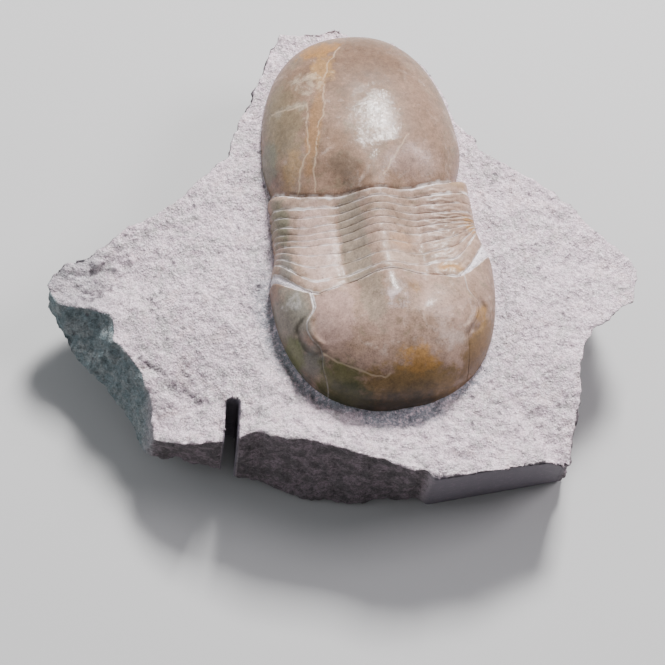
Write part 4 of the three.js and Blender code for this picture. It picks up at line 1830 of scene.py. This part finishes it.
@dataclass
class Studio:
    """A pale floor, soft light and the camera."""

    floor_size: float = 60.0
    floor_colour: Colour = (0.50, 0.495, 0.49)
    sky: Colour = (0.80, 0.82, 0.86)
    sky_strength: float = 0.30
    view_from: tuple[float, float, float] = (-0.070, -0.391, 0.918)
    view_right: tuple[float, float, float] = (0.998, -0.027, 0.064)
    aim: tuple[float, float, float] = (-1.96, -14.45, 15.62)
    distance: float = 1.0
    width_seen: float = 116.7
    lamps: tuple[Lamp, ...] = (
        Lamp("key", (0.2, 0.66, 0.74), 0.75, 0.17, 13.0),
        Lamp("fill_left", (-0.90, 0.15, 0.45), 0.9, 0.6, 2.4, (0.86, 0.93, 1.0)),
        Lamp("fill_right", (0.66, 0.18, 0.70), 0.9, 0.35, 4.2, (0.98, 0.94, 1.0)),
    )

    def floor(self) -> None:
        """Lays the floor."""
        mesh = bpy.data.meshes.new("floor")
        edge = self.floor_size / 2
        corners = [(-edge, -edge, 0), (edge, -edge, 0), (edge, edge, 0), (-edge, edge, 0)]
        mesh.from_pydata(corners, [], [(0, 1, 2, 3)])
        material = bpy.data.materials.new("floor_paper")
        material.use_nodes = True
        shader = material.node_tree.nodes["Principled BSDF"]
        shader.inputs["Base Color"].default_value = (*self.floor_colour, 1)
        shader.inputs["Roughness"].default_value = 0.7
        mesh.materials.append(material)
        object_from("floor", mesh)

    def camera(self) -> None:
        """Sets the camera up, looking down on the face that carries the animal."""
        data = bpy.data.cameras.new("camera")
        data.lens = data.sensor_width * self.distance / (self.width_seen * MM)
        data.clip_end = 200.0
        made = bpy.data.objects.new("camera", data)
        back = Vector(self.view_from).normalized()
        right = Vector(self.view_right).normalized()
        up = back.cross(right).normalized()
        axes = Matrix((right, up, back)).transposed()
        place = Vector(self.aim) * MM + back * self.distance
        made.matrix_world = Matrix.Translation(place) @ axes.to_4x4()
        bpy.context.scene.collection.objects.link(made)
        bpy.context.scene.camera = made

    def build(self) -> None:
        """Sets up the world, the floor, the lamps and the camera."""
        world = bpy.data.worlds.new("sky")
        bpy.context.scene.world = world
        world.use_nodes = True
        background = world.node_tree.nodes["Background"]
        background.inputs["Color"].default_value = (*self.sky, 1)
        background.inputs["Strength"].default_value = self.sky_strength
        self.floor()
        for lamp in self.lamps:
            lamp.place()
        self.camera()


def main() -> None:
    """Builds the studio and the fossil."""
    logging.basicConfig(level=logging.INFO, format="%(message)s")
    Studio().build()
    stain, grain = stain_group(), grain_group()
    Block(Limestone(), Relief()).build(grain)
    TailShield().build(TAIL_FINISH.material(stain, grain))
    Thorax().build(THORAX_FINISH.material(stain, grain))
    Head(SUTURES).build(HEAD_FINISH.material(stain, grain))


if __name__ == "__main__":
    main()
